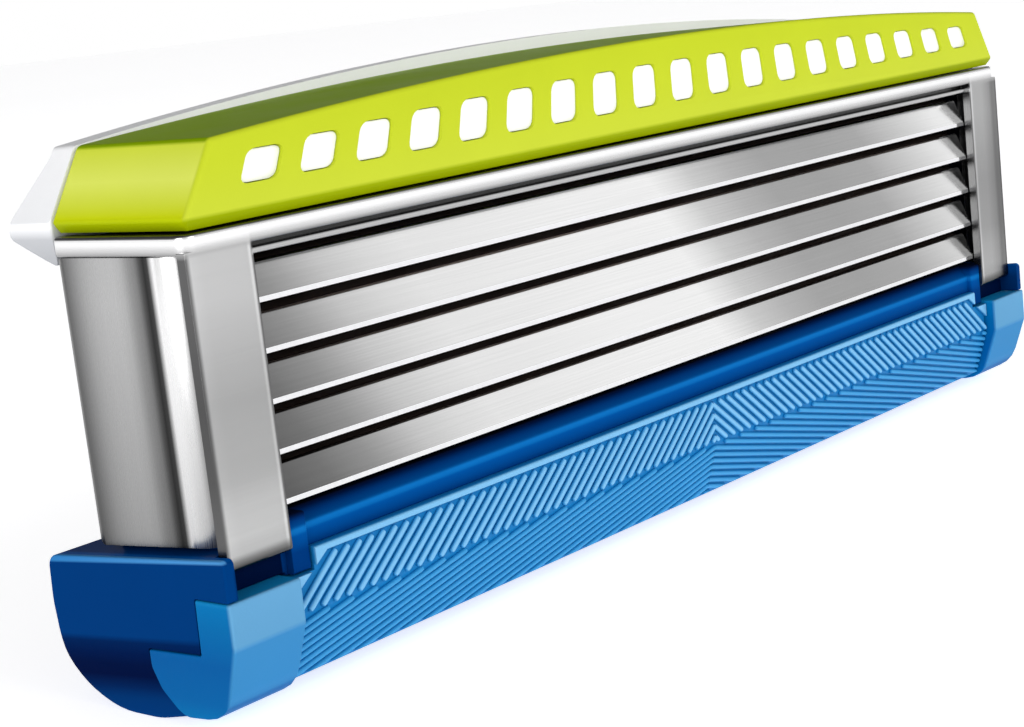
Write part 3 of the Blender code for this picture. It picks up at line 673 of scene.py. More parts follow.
def rib_tree():
    """Chevron ribs over a band of the guard, in the plane Y = 0: straight ribs that climb to the middle from
    both ends, evenly spaced, with rounded tips except where they meet at the middle."""
    sizes = (
        ("Half Length", 18.0), ("Band Low", -1.6), ("Band High", -0.36), ("Slope", 0.8), ("Spacing", 0.4),
        ("Rib Radius", 0.1), ("Tip", 0.12), ("Lean", 0.0), ("Crease Height", -1.67), ("Set Back", 0.1),
    )
    tree, given, out = new_tree("chevron ribs", sizes)
    low, high, slope, spacing = (given[key] for key in ("Band Low", "Band High", "Slope", "Spacing"))
    rise = sum_of(tree, "MULTIPLY_ADD", slope, given["Half Length"], sum_of(tree, "SUBTRACT", high, low))
    count = sum_of(tree, "CEIL", sum_of(tree, "DIVIDE", rise, spacing), None)
    line = add(tree, "GeometryNodeMeshLine", links={"Count": count})
    index = add(tree, "GeometryNodeInputIndex").outputs["Index"]
    level = sum_of(tree, "MULTIPLY_ADD", sum_of(tree, "ADD", index, 0.4), spacing, low)
    inner = sum_of(tree, "MINIMUM", 0.0, sum_of(tree, "DIVIDE", sum_of(tree, "SUBTRACT", high, level), slope))
    ends = sum_of(tree, "MULTIPLY", given["Half Length"], -1.0)
    outer = sum_of(tree, "MAXIMUM", ends, sum_of(tree, "DIVIDE", sum_of(tree, "SUBTRACT", low, level), slope))
    run = sum_of(tree, "SUBTRACT", inner, outer)
    steep = sum_of(tree, "SQRT", sum_of(tree, "MULTIPLY_ADD", slope, slope, 1.0), None)
    length = sum_of(tree, "MULTIPLY", run, steep)
    short = sum_of(tree, "LESS_THAN", run, sum_of(tree, "MULTIPLY", given["Tip"], 0.7))
    pruned = add(
        tree, "GeometryNodeDeleteGeometry", links={"Geometry": line.outputs["Mesh"], "Selection": short},
        domain="POINT",
    )
    start = add(
        tree, "ShaderNodeCombineXYZ", links={"X": outer, "Z": sum_of(tree, "MULTIPLY_ADD", slope, outer, level)}
    )
    meets = sum_of(tree, "GREATER_THAN", inner, -0.001)
    fields = (("start", "FLOAT_VECTOR", start.outputs[0]), ("long", "FLOAT", length), ("meets", "FLOAT", meets))
    # the fields depend on the index, so they are kept before short ribs are thrown away
    flow = line.outputs["Mesh"]
    for label, kind, source in fields:
        stored = add(
            tree, "GeometryNodeStoreNamedAttribute", {"Name": label}, {"Geometry": flow, "Value": source},
            data_type=kind, domain="POINT",
        )
        flow = stored.outputs["Geometry"]
    tree.links.new(flow, pruned.inputs["Geometry"])
    placed = add(
        tree,
        "GeometryNodeSetPosition",
        links={
            "Geometry": pruned.outputs["Geometry"],
            "Position": add(
                tree, "GeometryNodeInputNamedAttribute", {"Name": "start"}, data_type="FLOAT_VECTOR"
            ).outputs["Attribute"],
        },
    )
    unit = add(tree, "GeometryNodeCurvePrimitiveLine", {"Start": (0, 0, 0), "End": (1, 0, 0)})
    stations = add(
        tree, "GeometryNodeResampleCurve", {"Count": 6}, {"Curve": unit.outputs["Curve"]}, mode="COUNT"
    )
    angle = sum_of(tree, "MULTIPLY", sum_of(tree, "ARCTANGENT", slope, None), -1.0)
    turn = add(tree, "ShaderNodeCombineXYZ", links={"Y": angle})
    ribs = add(
        tree,
        "GeometryNodeInstanceOnPoints",
        links={
            "Points": placed.outputs["Geometry"],
            "Instance": stations.outputs["Curve"],
            "Rotation": turn.outputs[0],
        },
    )
    curves = add(tree, "GeometryNodeRealizeInstances", links={"Geometry": ribs.outputs["Instances"]})
    # six stations to a rib: tip, quarter tip, full width, and the same at the other end
    station = add(tree, "GeometryNodeSplineParameter")
    number = station.outputs["Index"]
    back = sum_of(tree, "SUBTRACT", 5.0, number)
    nearest = sum_of(tree, "MINIMUM", number, back)
    kept = [
        add(tree, "GeometryNodeInputNamedAttribute", {"Name": label}, data_type="FLOAT").outputs["Attribute"]
        for label in ("long", "meets")
    ]
    tip = sum_of(tree, "MINIMUM", given["Tip"], sum_of(tree, "MULTIPLY", kept[0], 0.4))
    from_end = sum_of(tree, "MULTIPLY", sum_of(tree, "MULTIPLY", sum_of(tree, "POWER", nearest, 2.0), 0.25), tip)
    upper = sum_of(tree, "GREATER_THAN", number, 2.5)
    reach = add(
        tree,
        "GeometryNodeSwitch",
        links={"Switch": upper, "False": from_end, "True": sum_of(tree, "SUBTRACT", kept[0], from_end)},
        input_type="FLOAT",
    ).outputs["Output"]
    spot = add(tree, "GeometryNodeInputPosition").outputs["Position"]
    along = add(tree, "ShaderNodeSeparateXYZ", links={"Vector": spot})
    share = sum_of(tree, "DIVIDE", number, 5.0)
    heading_x = sum_of(tree, "DIVIDE", 1.0, steep)
    heading_z = sum_of(tree, "DIVIDE", slope, steep)
    base_x = sum_of(tree, "SUBTRACT", along.outputs["X"], sum_of(tree, "MULTIPLY", share, heading_x))
    base_z = sum_of(tree, "SUBTRACT", along.outputs["Z"], sum_of(tree, "MULTIPLY", share, heading_z))
    stationed = add(
        tree,
        "ShaderNodeCombineXYZ",
        links={
            "X": sum_of(tree, "MULTIPLY_ADD", reach, heading_x, base_x),
            "Z": sum_of(tree, "MULTIPLY_ADD", reach, heading_z, base_z),
        },
    )
    spread = add(
        tree,
        "GeometryNodeSetPosition",
        links={"Geometry": curves.outputs["Geometry"], "Position": stationed.outputs[0]},
    )
    full = sum_of(tree, "MULTIPLY", upper, kept[1])
    taper = sum_of(tree, "MULTIPLY_ADD", sum_of(tree, "MINIMUM", nearest, 2.0), -0.5, 1.0)
    fullness = sum_of(
        tree, "SQRT", sum_of(tree, "MAXIMUM", 0.06, sum_of(tree, "SUBTRACT", 1.0, sum_of(tree, "POWER", taper, 2.0))), None
    )
    radius = sum_of(tree, "MULTIPLY", sum_of(tree, "MAXIMUM", fullness, full), given["Rib Radius"])
    thick = add(
        tree, "GeometryNodeSetCurveRadius", links={"Curve": spread.outputs["Geometry"], "Radius": radius}
    )
    ring = add(tree, "GeometryNodeCurvePrimitiveCircle", {"Resolution": 8, "Radius": 1.0}, mode="RADIUS")
    solid = add(
        tree,
        "GeometryNodeCurveToMesh",
        {"Fill Caps": True},
        {"Curve": thick.outputs["Curve"], "Profile Curve": ring.outputs["Curve"], "Scale": radius},
    )
    lean = add(tree, "ShaderNodeCombineXYZ", links={"X": given["Lean"]})
    shift = add(tree, "ShaderNodeCombineXYZ", links={"Y": given["Set Back"], "Z": given["Crease Height"]})
    set_in = add(
        tree,
        "GeometryNodeTransform",
        links={
            "Geometry": solid.outputs["Mesh"],
            "Rotation": lean.outputs[0],
            "Translation": shift.outputs[0],
        },
    )
    other = add(
        tree, "GeometryNodeTransform", {"Scale": (-1, 1, 1)}, {"Geometry": set_in.outputs["Geometry"]}
    )
    turned = add(tree, "GeometryNodeFlipFaces", links={"Mesh": other.outputs["Geometry"]})
    both = add(tree, "GeometryNodeJoinGeometry")
    for part in (turned.outputs["Mesh"], set_in.outputs["Geometry"], given["Geometry"]):
        tree.links.new(part, both.inputs["Geometry"])
    end_tree(tree, both.outputs["Geometry"], given, out)
    return tree


def end_tree(tree, flow, given, out):
    """Realises what is left of the instances and gives it the finish."""
    real = add(tree, "GeometryNodeRealizeInstances", links={"Geometry": flow})
    done = add(
        tree,
        "GeometryNodeSetMaterial",
        links={"Geometry": real.outputs["Geometry"], "Material": given["Finish"]},
    )
    tree.links.new(done.outputs["Geometry"], out.inputs["Geometry"])


def plug_of(tree, outline, radius, steps, depth):
    """A closed plug from a flat outline whose corners get rounded: its front at Y = 0, its depth along +Y."""
    corners = add(
        tree, "GeometryNodeFilletCurve", {"Count": steps}, {"Curve": outline.outputs["Curve"], "Radius": radius},
        mode="POLY",
    )
    sheet = add(tree, "GeometryNodeFillCurve", links={"Curve": corners.outputs["Curve"]}, mode="NGONS")
    front = add(
        tree, "GeometryNodeTransform", {"Rotation": (-math.pi / 2, 0, 0)}, {"Geometry": sheet.outputs["Mesh"]}
    ).outputs["Geometry"]
    ahead = add(tree, "ShaderNodeCombineXYZ", {"Y": 1.0}).outputs[0]
    plug = add(
        tree, "GeometryNodeExtrudeMesh", {"Individual": False},
        {"Mesh": front, "Offset": ahead, "Offset Scale": depth}, mode="FACES",
    )
    turned = add(tree, "GeometryNodeFlipFaces", links={"Mesh": front})
    closed = add(tree, "GeometryNodeJoinGeometry")
    for part in (plug.outputs["Mesh"], turned.outputs["Mesh"]):
        tree.links.new(part, closed.inputs["Geometry"])
    welded = add(
        tree, "GeometryNodeMergeByDistance", {"Distance": 0.0005}, {"Geometry": closed.outputs["Geometry"]}
    )
    return welded.outputs["Geometry"]


def window_tree(name, operation):
    """A row of rounded windows along X, smaller and lower towards the ends, cut from the shape or joined to
    it as plugs."""
    sizes = (
        ("Count", 19), ("Pitch", 1.915), ("Width", 1.22), ("Middle Height", 1.22), ("End Height", 0.78),
        ("Middle Level", 9.6), ("End Level", 9.37), ("Corner", 0.2), ("Front", -1.0), ("Depth", 2.0),
        ("Shear", 0.36),
    )
    tree, given, out = new_tree(name, sizes)
    line = add(tree, "GeometryNodeMeshLine", links={"Count": given["Count"]})
    index = add(tree, "GeometryNodeInputIndex").outputs["Index"]
    middle = sum_of(tree, "MULTIPLY", sum_of(tree, "SUBTRACT", given["Count"], 1.0), 0.5)
    place = sum_of(tree, "SUBTRACT", index, middle)
    share = sum_of(tree, "DIVIDE", place, middle)
    toward_end = sum_of(tree, "MULTIPLY", share, share)
    drop = sum_of(tree, "SUBTRACT", given["End Level"], given["Middle Level"])
    shrink = sum_of(tree, "SUBTRACT", given["End Height"], given["Middle Height"])
    level = sum_of(tree, "MULTIPLY_ADD", toward_end, drop, given["Middle Level"])
    height = sum_of(tree, "MULTIPLY_ADD", toward_end, shrink, given["Middle Height"])
    spot = add(
        tree,
        "ShaderNodeCombineXYZ",
        links={"X": sum_of(tree, "MULTIPLY", place, given["Pitch"]), "Y": given["Front"], "Z": level},
    )
    placed = add(
        tree, "GeometryNodeSetPosition", links={"Geometry": line.outputs["Mesh"], "Position": spot.outputs[0]}
    )
    frame_line = add(
        tree,
        "GeometryNodeCurvePrimitiveQuadrilateral",
        {"Height": 1.12},
        {"Width": given["Width"]},
        mode="RECTANGLE",
    )
    plug = plug_of(tree, frame_line, given["Corner"], 4, given["Depth"])
    stretch = add(
        tree, "ShaderNodeCombineXYZ", {"X": 1.0, "Y": 1.0}, {"Z": sum_of(tree, "DIVIDE", height, 1.12)}
    )
    row = add(
        tree,
        "GeometryNodeInstanceOnPoints",
        links={"Points": placed.outputs["Geometry"], "Instance": plug, "Scale": stretch.outputs[0]},
    )
    upright_row = add(tree, "GeometryNodeRealizeInstances", links={"Geometry": row.outputs["Instances"]})
    # the window tops lean to the middle, the more the nearer they are to an end
    spot = add(tree, "ShaderNodeSeparateXYZ", links={"Vector": add(tree, "GeometryNodeInputPosition").outputs[0]})
    half_row = sum_of(tree, "MULTIPLY", middle, given["Pitch"])
    outward = sum_of(tree, "DIVIDE", spot.outputs["X"], half_row)
    above = sum_of(tree, "SUBTRACT", spot.outputs["Z"], given["Middle Level"])
    push = sum_of(tree, "MULTIPLY", sum_of(tree, "MULTIPLY", outward, above), given["Shear"])
    sideways = add(tree, "ShaderNodeCombineXYZ", links={"X": sum_of(tree, "MULTIPLY", push, -1.0)})
    real = add(
        tree,
        "GeometryNodeSetPosition",
        links={"Geometry": upright_row.outputs["Geometry"], "Offset": sideways.outputs[0]},
    )
    bored = add(tree, "GeometryNodeMeshBoolean", operation=operation, solver="MANIFOLD")
    if operation == "DIFFERENCE":
        tree.links.new(given["Geometry"], bored.inputs["Mesh 1"])
    else:
        tree.links.new(given["Geometry"], bored.inputs["Mesh 2"])
    tree.links.new(real.outputs["Geometry"], bored.inputs["Mesh 2"])
    end_tree(tree, bored.outputs["Mesh"], given, out)
    return tree


def slot_tree():
    """A grid of rounded slots through a plate that stands across Y."""
    sizes = (
        ("Columns", 8), ("Rows", 5), ("Column Pitch", 4.4), ("Row Pitch", 1.25), ("Width", 3.6), ("Height", 0.5),
        ("Lowest", 1.8), ("Front", 3.9), ("Depth", 1.2),
    )
    tree, given, out = new_tree("rinse slots", sizes)
    wide = sum_of(tree, "MULTIPLY", sum_of(tree, "SUBTRACT", given["Columns"], 1.0), given["Column Pitch"])
    tall = sum_of(tree, "MULTIPLY", sum_of(tree, "SUBTRACT", given["Rows"], 1.0), given["Row Pitch"])
    grid = add(
        tree,
        "GeometryNodeMeshGrid",
        links={"Size X": wide, "Size Y": tall, "Vertices X": given["Columns"], "Vertices Y": given["Rows"]},
    )
    centre = sum_of(tree, "MULTIPLY_ADD", tall, 0.5, given["Lowest"])
    place = add(tree, "ShaderNodeCombineXYZ", links={"Y": given["Front"], "Z": centre})
    upright = add(
        tree,
        "GeometryNodeTransform",
        {"Rotation": (math.pi / 2, 0, 0)},
        {"Geometry": grid.outputs["Mesh"], "Translation": place.outputs[0]},
    )
    shape = add(
        tree,
        "GeometryNodeCurvePrimitiveQuadrilateral",
        links={"Width": given["Width"], "Height": given["Height"]},
        mode="RECTANGLE",
    )
    plug = plug_of(tree, shape, sum_of(tree, "MULTIPLY", given["Height"], 0.49), 5, given["Depth"])
    row = add(
        tree,
        "GeometryNodeInstanceOnPoints",
        links={"Points": upright.outputs["Geometry"], "Instance": plug},
    )
    real = add(tree, "GeometryNodeRealizeInstances", links={"Geometry": row.outputs["Instances"]})
    bored = add(tree, "GeometryNodeMeshBoolean", operation="DIFFERENCE", solver="MANIFOLD")
    tree.links.new(given["Geometry"], bored.inputs["Mesh 1"])
    tree.links.new(real.outputs["Geometry"], bored.inputs["Mesh 2"])
    end_tree(tree, bored.outputs["Mesh"], given, out)
    return tree


# ---------------------------------------------------------------- head


def cap_side(grow_by=0.0):
    """The stepped side of an end cap, (y, z), grown for the seat that it sits in."""
    g = grow_by
    return rounded(
        [
            (-0.35 - g, GUARD_CREASE, 0.3),
            (-0.35 - g, -0.57 + g, 0.06),
            (0.9 + g, -0.57 + g, 0.06),
            (0.95 + g, -1.97 + g, 0.05),
            (2.9 + g, -2.05 + g, 0.06),
            (2.9 + g, -2.5 - g, 0.3),
            (2.66 + g, -3.05 - g, 0.5),
            (2.2 + g, -3.5 - g, 0.5),
            (1.9 + g, -3.68 - g, 0.9),
            (0.35 - g, -3.56 - g, 1.2),
        ]
    )


def flank_wedge(name, side, inset):
    """The solid outside the lower flank of an end: below a crease the end face leans in."""
    points = []
    for y, z in ((-1.5, -1.46), (7.5, -2.23)):
        for x in (BASE_HALF + 0.03, 23.0):
            points.append((side * x, y, z))
        points.append((side * (BASE_HALF + 0.03 - inset), y, z - 2.7))
        points.append((side * 23.0, y, z - 2.7))
    return hull(name, points)


def housing(finishes):
    """The dark blue moulding: the bar with the gutter, two end blocks, the posts, the beam, ears and lugs."""
    bar = rounded(
        [
            (1.66, -3.72, 0.1), (1.66, -0.28, 0.05), (0.3, -0.1, 0.05), (0.3, 0.5, 0.07), (0.66, 0.88, 0.08),
            (0.95, 0.88, 0.08), (1.7, 0.33, 0.2), (6.45, -0.01, 0.3),
            *((y - 0.02, z + 0.02, r) for y, z, r in LOWER_CURVE),
        ]
    )
    base = prism("housing", bar, -18.5, 18.5, "X")
    end = rounded(
        [(-0.3, -0.5, 0.05), (-0.3, 0.49, 0.14), (6.47, 0.01, 0.35), *LOWER_CURVE, (2.0, -3.7), (1.0, -3.0)]
    )
    parts = [block("beam", (-19.5, 0.7, 7.45), (19.5, 4.7, 7.95), 0.06)]
    cutters = []
    for side, tag in SIDES:
        low, high = span(side, 18.1, BASE_HALF)
        end_block = prism(f"end_{tag}", end, low, high, "X", 0.2, 4)
        parts.append(cut(end_block, flank_wedge(f"flank_{tag}", side, 0.28)))
        low, high = span(side, *POST)
        parts.append(block(f"post_{tag}", (low, 0.75, -1.0), (high, 4.7, 7.65), 0.06))
        low, high = span(side, 17.35, 18.4)
        parts.append(block(f"gutter_stop_{tag}", (low, 0.12, -0.62), (high, 1.2, 0.86), 0.07))
        low, high = span(side, 17.97, 20.18)
        cutters.append(block(f"strip_pocket_{tag}", (low, -1.0, -0.7), (high, 0.36, 2.0)))
        low, high = span(side, 18.05, 21.5)
        cutters.append(prism(f"cap_seat_{tag}", cap_side(0.03), low, high, "X"))
        for number in range(1, BLADES + 1):
            low, high = span(side, 17.95, 18.97)
            z = edge_height(number)
            cutters.append(block(f"slot_{number}_{tag}", (low, 0.55, z + 0.02), (high, 3.67, z + 1.0)))
    parts += ears_and_lugs()
    join(base, *parts)
    cut(base, *cutters, *bores())
    return piece("moulded_housing", base, finishes["navy"], "head", "navy_abs", "housing")


def ears_and_lugs():
    """Ears for the reservoir's hinge and lugs for the handle dock."""
    ear = [(3.9, 7.6), (4.3, 7.12), (4.9, 7.12), *arc(HINGE, 0.62, -110, 90, 16), (4.3, 7.9)]
    lug = [(5.2, -0.2), (5.2, -2.4), (6.5, -2.3), *arc(PIVOT, 1.35, -50, 130, 24)]
    made = []
    for side, tag in SIDES:
        low, high = span(side, 15.9, 16.9)
        made.append(prism(f"ear_{tag}", ear, low, high, "X", 0.06))
        low, high = span(side, 7.0, 8.2)
        made.append(prism(f"lug_{tag}", lug, low, high, "X", 0.12))
    return made


def bores():
    """The holes in the ears and lugs."""
    made = []
    for side, tag in SIDES:
        low, high = span(side, 14.9, 17.9)
        made.append(rod(f"ear_bore_{tag}", low, high, HINGE, 0.38))
        low, high = span(side, 6.0, 9.2)
        made.append(rod(f"lug_bore_{tag}", low, high, PIVOT, 0.63))
    return made


def guard(finishes, ribs):
    """The soft guard: a smooth rim along the top, a flat corner at each end, and two bands of ribs."""
    lean_y, lean_z = math.sin(GUARD_TILT), math.cos(GUARD_TILT)
    in_y, in_z = lean_z * GROOVE_DEPTH, lean_y * GROOVE_DEPTH
    side_view = rounded(
        [
            (0.16, -0.08, 0.06), (0.0, -0.1, 0.06), (0.0, -0.25, 0.04), (GROOVE_DEPTH, -0.3, 0.03),
            (GROOVE_DEPTH, GUARD_CREASE + 0.03, 0.05), (0.6 + in_y, GUARD_LOW + in_z, 0.03),
            (1.6, GUARD_LOW, 0.05), (1.6, -0.34, 0.05), (1.0, -0.14, 0.1),
        ]
    )
    body = prism("guard", side_view, -GUARD_HALF, GUARD_HALF, "X", 0.03, 2)
    corners = []
    notches = []
    for side, tag in SIDES:
        corner = [(side * x, z) for x, z in ((GUARD_HALF, -1.15), (16.85, -0.24), (17.2, -0.2), (GUARD_HALF, -0.2))]
        corners.append(prism(f"flat_corner_{tag}", corner, 0.0, 1.0, "Y", 0.03, 2))
        low, high = span(side, 17.29, 18.5)
        notches.append(block(f"notch_{tag}", (low, -1.0, -0.68), (high, 3.0, 0.5)))
    join(body, *corners)
    cut(body, *notches)
    radius = 0.09
    upper = {
        "Half Length": GUARD_HALF + 0.3, "Band Low": -1.62, "Band High": -0.36, "Slope": 0.8, "Spacing": 0.35,
        "Rib Radius": radius, "Tip": 0.12, "Lean": 0.0, "Crease Height": 0.0, "Set Back": radius,
    }
    ribs_above = grow(flat_start(), ribs, upper, finishes["guard"])
    clear_corners(ribs_above)
    # the lower band is drawn below its own zero and then leant about the crease
    radius = 0.08
    lower = {
        "Half Length": GUARD_HALF + 0.3, "Band Low": -2.3, "Band High": -0.1, "Slope": 0.26, "Spacing": 0.225,
        "Rib Radius": radius, "Tip": 0.1, "Lean": GUARD_TILT, "Crease Height": GUARD_CREASE + radius * lean_y,
        "Set Back": radius * lean_z + 0.01,
    }
    ribs_below = grow(flat_start(), ribs, lower, finishes["guard"])
    trim = ((GUARD_HALF, 0, 0), (1, 0, 0)), ((-GUARD_HALF, 0, 0), (-1, 0, 0)), ((0, 0, GUARD_LOW - 0.04), (0, 0.25, -1))
    for made in (ribs_above, ribs_below):
        trim_flush(made, trim)
    weld(body, ribs_above, ribs_below)
    return piece("ribbed_guard", body, finishes["guard"], "head", "blue_elastomer", "guard_strip", sharp=50.0)


def flat_start():
    """An object with an empty mesh, for a tree that makes everything itself."""
    made = bpy.data.objects.new("start", bpy.data.meshes.new("start"))
    bpy.context.scene.collection.objects.link(made)
    return made


def trim_flush(made, planes):
    """Cuts away what stands outside each plane, a point and the way out, and closes the cuts."""
    shape = bmesh.new()
    shape.from_mesh(made.data)
    for point, way in planes:
        every = shape.verts[:] + shape.edges[:] + shape.faces[:]
        cut_edges = bmesh.ops.bisect_plane(
            shape, geom=every, plane_co=point, plane_no=Vector(way).normalized(), clear_outer=True, dist=0.00001
        )["geom_cut"]
        rims = [part for part in cut_edges if isinstance(part, bmesh.types.BMEdge)]
        bmesh.ops.holes_fill(shape, edges=rims, sides=0)
    shape.to_mesh(made.data)
    shape.free()


def clear_corners(made):
    """Takes away the ribs that would lie under the flat corners at the ends."""
    shape = bmesh.new()
    shape.from_mesh(made.data)
    hidden = [v for v in shape.verts if v.co.z > -1.2 + (18.1 - abs(v.co.x)) * 0.72]
    loose = set()
    for vertex in hidden:
        if vertex in loose:
            continue
        front = [vertex]
        while front:
            current = front.pop()
            if current in loose:
                continue
            loose.add(current)
            front += [edge.other_vert(current) for edge in current.link_edges]
    bmesh.ops.delete(shape, geom=list(loose), context="VERTS")
    shape.to_mesh(made.data)
    shape.free()


def weld(base, *others):
    """Adds closed shells that stand in the base to its mesh."""
    shape = bmesh.new()
    shape.from_mesh(base.data)
    for other in others:
        shape.from_mesh(other.data)
        bpy.data.objects.remove(other, do_unlink=True)
    shape.to_mesh(base.data)
    shape.free()


def end_caps(finishes):
    """A hard cap over each end of the guard, its sides stepped and its lower flank leaning in."""
    for side, tag in SIDES:
        low, high = span(side, 18.2, 20.52)
        cap = prism(f"cap_{tag}", cap_side(), low, high, "X", 0.12, 4)
        cut(cap, flank_wedge(f"cap_flank_{tag}", side, 0.14))
        piece(f"stepped_cap_{tag}", cap, finishes["sky"], "head", "sky_abs", f"end_cap_{tag}")


def metal_face(finishes):
    """One stamping: a beaded rail that returns along both sides, the thin lip under it, and a flat strip
    over each end of the blades."""
    plan = rounded(
        [
            (-FACE_HALF, FACE_BACK, 0.2), (-FACE_HALF, 0.0, 0.4), (FACE_HALF, 0.0, 0.4), (FACE_HALF, FACE_BACK, 0.2),
            (19.56, FACE_BACK, 0.1), (19.56, 0.62, 0.2), (-19.56, 0.62, 0.2), (-19.56, FACE_BACK, 0.1),
        ],
        6,
    )
    rail = prism("rail", plan, 7.58, 8.08, "Z", 0.235, 8)
    lip_view = rounded(
        [(0.6, 7.75), (0.6, 7.3, 0.04), (0.14, 7.3, 0.05), (0.12, 7.46, 0.05), (0.4, 7.47), (0.4, 7.75)]
    )
    parts = [prism("lip", lip_view, -18.2, 18.2, "X")]
    strip_view = rounded([(0.0, 7.66), (0.0, 0.02, 0.27), (SHEET, 0.02, 0.02), (SHEET, 7.66)], 6)
    for side, tag in SIDES:
        low, high = span(side, WINDOW_HALF, FACE_HALF)
        parts.append(prism(f"strip_{tag}", strip_view, low, high, "X", 0.1, 4))
    join(rail, *parts)
    return piece("stamped_face", rail, finishes["rail"], "head", "silver_sheet", "face_frame")


def side_clips(finishes):
    """A bent sheet over each end post, its lower back corner rounded, that turns round the front corner."""
    outer, bend, high, low, corner = 19.94, 0.9, 7.55, 0.5, 0.18
    centre = (outer - bend, 0.5 + bend)
    plan = [(outer, FACE_BACK - corner * (1 - math.cos(math.radians(a)))) for a in range(0, 91, 15)]
    plan += [(outer, 3.4), (outer, 2.4), *arc(centre, bend, 0, -90, 12), (18.5, 0.5)]
    for side, tag in SIDES:
        shape = bmesh.new()
        rows = []
        for x, y in plan:
            reach = max(0.0, corner - (FACE_BACK - y))
            drop = corner - math.sqrt(max(0.0, corner * corner - reach * reach))
            foot = low - 0.07 * max(0.0, y - centre[1]) + drop
            rows.append([shape.verts.new((side * x, y, z)) for z in (foot, (low + high) / 2, high - drop * 0.3)])
        for first, second in zip(rows, rows[1:]):
            for index in (0, 1):
                shape.faces.new((first[index], first[index + 1], second[index + 1], second[index]))
        clip = stand(f"clip_{tag}", shape)
        outward = clip.data.polygons[0].normal.x * side
        wall = clip.modifiers.new("sheet", "SOLIDIFY")
        wall.thickness = SHEET
        wall.offset = -1.0 if outward > 0 else 1.0
        settle(clip)
        soften(clip, 0.07, 50.0, 3)
        piece(f"bent_clip_{tag}", clip, finishes["panel"], "head", "silver_sheet", f"side_clip_{tag}")


def edge_height(number):
    """Height of a blade's cutting edge, counted from the top blade."""
    return TOP_EDGE_Z - BLADE_PITCH * (number - 1)


def along_blade(number, distance, depth):
    """The point at a distance up the blade from its edge and a depth behind its front, (y, z)."""
    y = EDGE_Y + distance * math.sin(BLADE_TILT) + depth * math.cos(BLADE_TILT)
    z = edge_height(number) + distance * math.cos(BLADE_TILT) - depth * math.sin(BLADE_TILT)
    return (y, z)


def blade(number, finishes):
    """A ground strip with a honed facet along its lower edge and a rounded top."""
    facet_top = along_blade(number, 0.06, 0.0)
    tip = along_blade(number, -0.06, 0.04)
    profile = [tip, (facet_top[0] - 0.004, facet_top[1])]
    rounding = ((0.14, 0.0), (0.08, 0.008), (0.03, 0.03), (0.0, 0.07), (0.0, 0.1))
    profile += [along_blade(number, BLADE_WIDTH - up, depth) for up, depth in rounding]
    profile += [along_blade(number, 0.2, 0.1)]
    made = prism(f"strip_{number}", profile, -BLADE_HALF, BLADE_HALF, "X", 0.02, 2)
    edge_z = facet_top[1] - 0.004
    for face in made.data.polygons:
        face.material_index = 1 if face.normal.y < -0.5 and face.center.z < edge_z else 0
    layers = (finishes["blade"], finishes["edge"])
    body = f"blade_{number}_unit"
    return piece(f"honed_blade_{number}", made, layers, body, "honed_steel", f"blade_{number}", sharp=12.0)


def support(number, finishes):
    """The bent carrier of a blade: its nose behind the strip, a round shoulder, and a tail with a guide tab at
    each end."""
    near, far = 0.13, 0.29
    high = edge_height(number) + TAIL_RISE
    low = high - 0.16
    shoulder_y = along_blade(number, 0.95, near)[0]
    view = rounded(
        [
            along_blade(number, 0.3, far), along_blade(number, 0.3, near), (shoulder_y, high, 0.22),
            (SUPPORT_BACK, high), (SUPPORT_BACK, low), (shoulder_y + 0.13, low, 0.08),
        ],
        6,
    )
    nose = prism(f"carrier_{number}", view, -17.8, 17.8, "X", 0.03, 2)
    tabs = []
    for side, tag in SIDES:
        inner, outer = span(side, 17.5, 18.85)
        tabs.append(block(f"tab_{tag}", (inner, 1.5, low), (outer, SUPPORT_BACK, high), 0.05))
    join(nose, *tabs)
    return piece(
        f"bent_carrier_{number}", nose, finishes["carrier"], f"blade_{number}_unit", "carrier_steel",
        f"blade_support_{number}",
    )


def grille(finishes, slots):
    """The slotted plate behind the blades."""
    plate = block("plate", (-18.05, 4.2, 0.5), (18.05, 4.65, 7.3), 0.08)
    reliefs = []
    for side, tag in SIDES:
        low, high = span(side, 15.8, 17.0)
        reliefs.append(block(f"ear_relief_{tag}", (low, 3.0, 7.05), (high, 6.0, 8.0)))
    cut(plate, *reliefs)
    sizes = {
        "Columns": 8, "Rows": BLADES, "Column Pitch": 4.4, "Row Pitch": BLADE_PITCH, "Width": 3.6, "Height": 0.3,
        "Lowest": edge_height(BLADES) + 0.6, "Front": 3.9, "Depth": 1.2,
    }
    # the plate and its slots take the navy darkened to near black as painted shade
    grow(plate, slots, sizes, finishes["inner"])
    soften(plate, 0.04, 50.0, 2)
    return piece("rinse_grille", plate, finishes["inner"], "head", "navy_abs", "rear_grille")


def bent_sheet(path, thickness):
    """The outline of a sheet bent along a path, half its thickness to either side."""
    sides = ([], [])
    for index, (across, up) in enumerate(path):
        before, after = path[max(index - 1, 0)], path[min(index + 1, len(path) - 1)]
        run = Vector((after[0] - before[0], after[1] - before[1])).normalized()
        for way, points in zip((1, -1), sides):
            points.append((across - way * run.y * thickness / 2, up + way * run.x * thickness / 2))
    return sides[0] + sides[1][::-1]


def return_leaf(finishes):
    """The spring leaf between the grille and the dock, drawn at rest; in the real head it gives way as the dock swings
    up.
    """
    path = [(4.82, 5.6), (4.82, 5.1), *arc((5.22, 5.1), 0.4, 180, 270, 8)]
    path += [*arc((8.2, 3.95), 0.75, 90, 0, 10), (8.95, 3.5)]
    leaf = prism("leaf", bent_sheet(path, 0.2), -1.6, 1.6, "X", 0.04, 2)
    made = piece("spring_leaf", leaf, finishes["pin"], "head", "pin_steel", "return_leaf")
    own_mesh(made)


# ---------------------------------------------------------------- reservoir


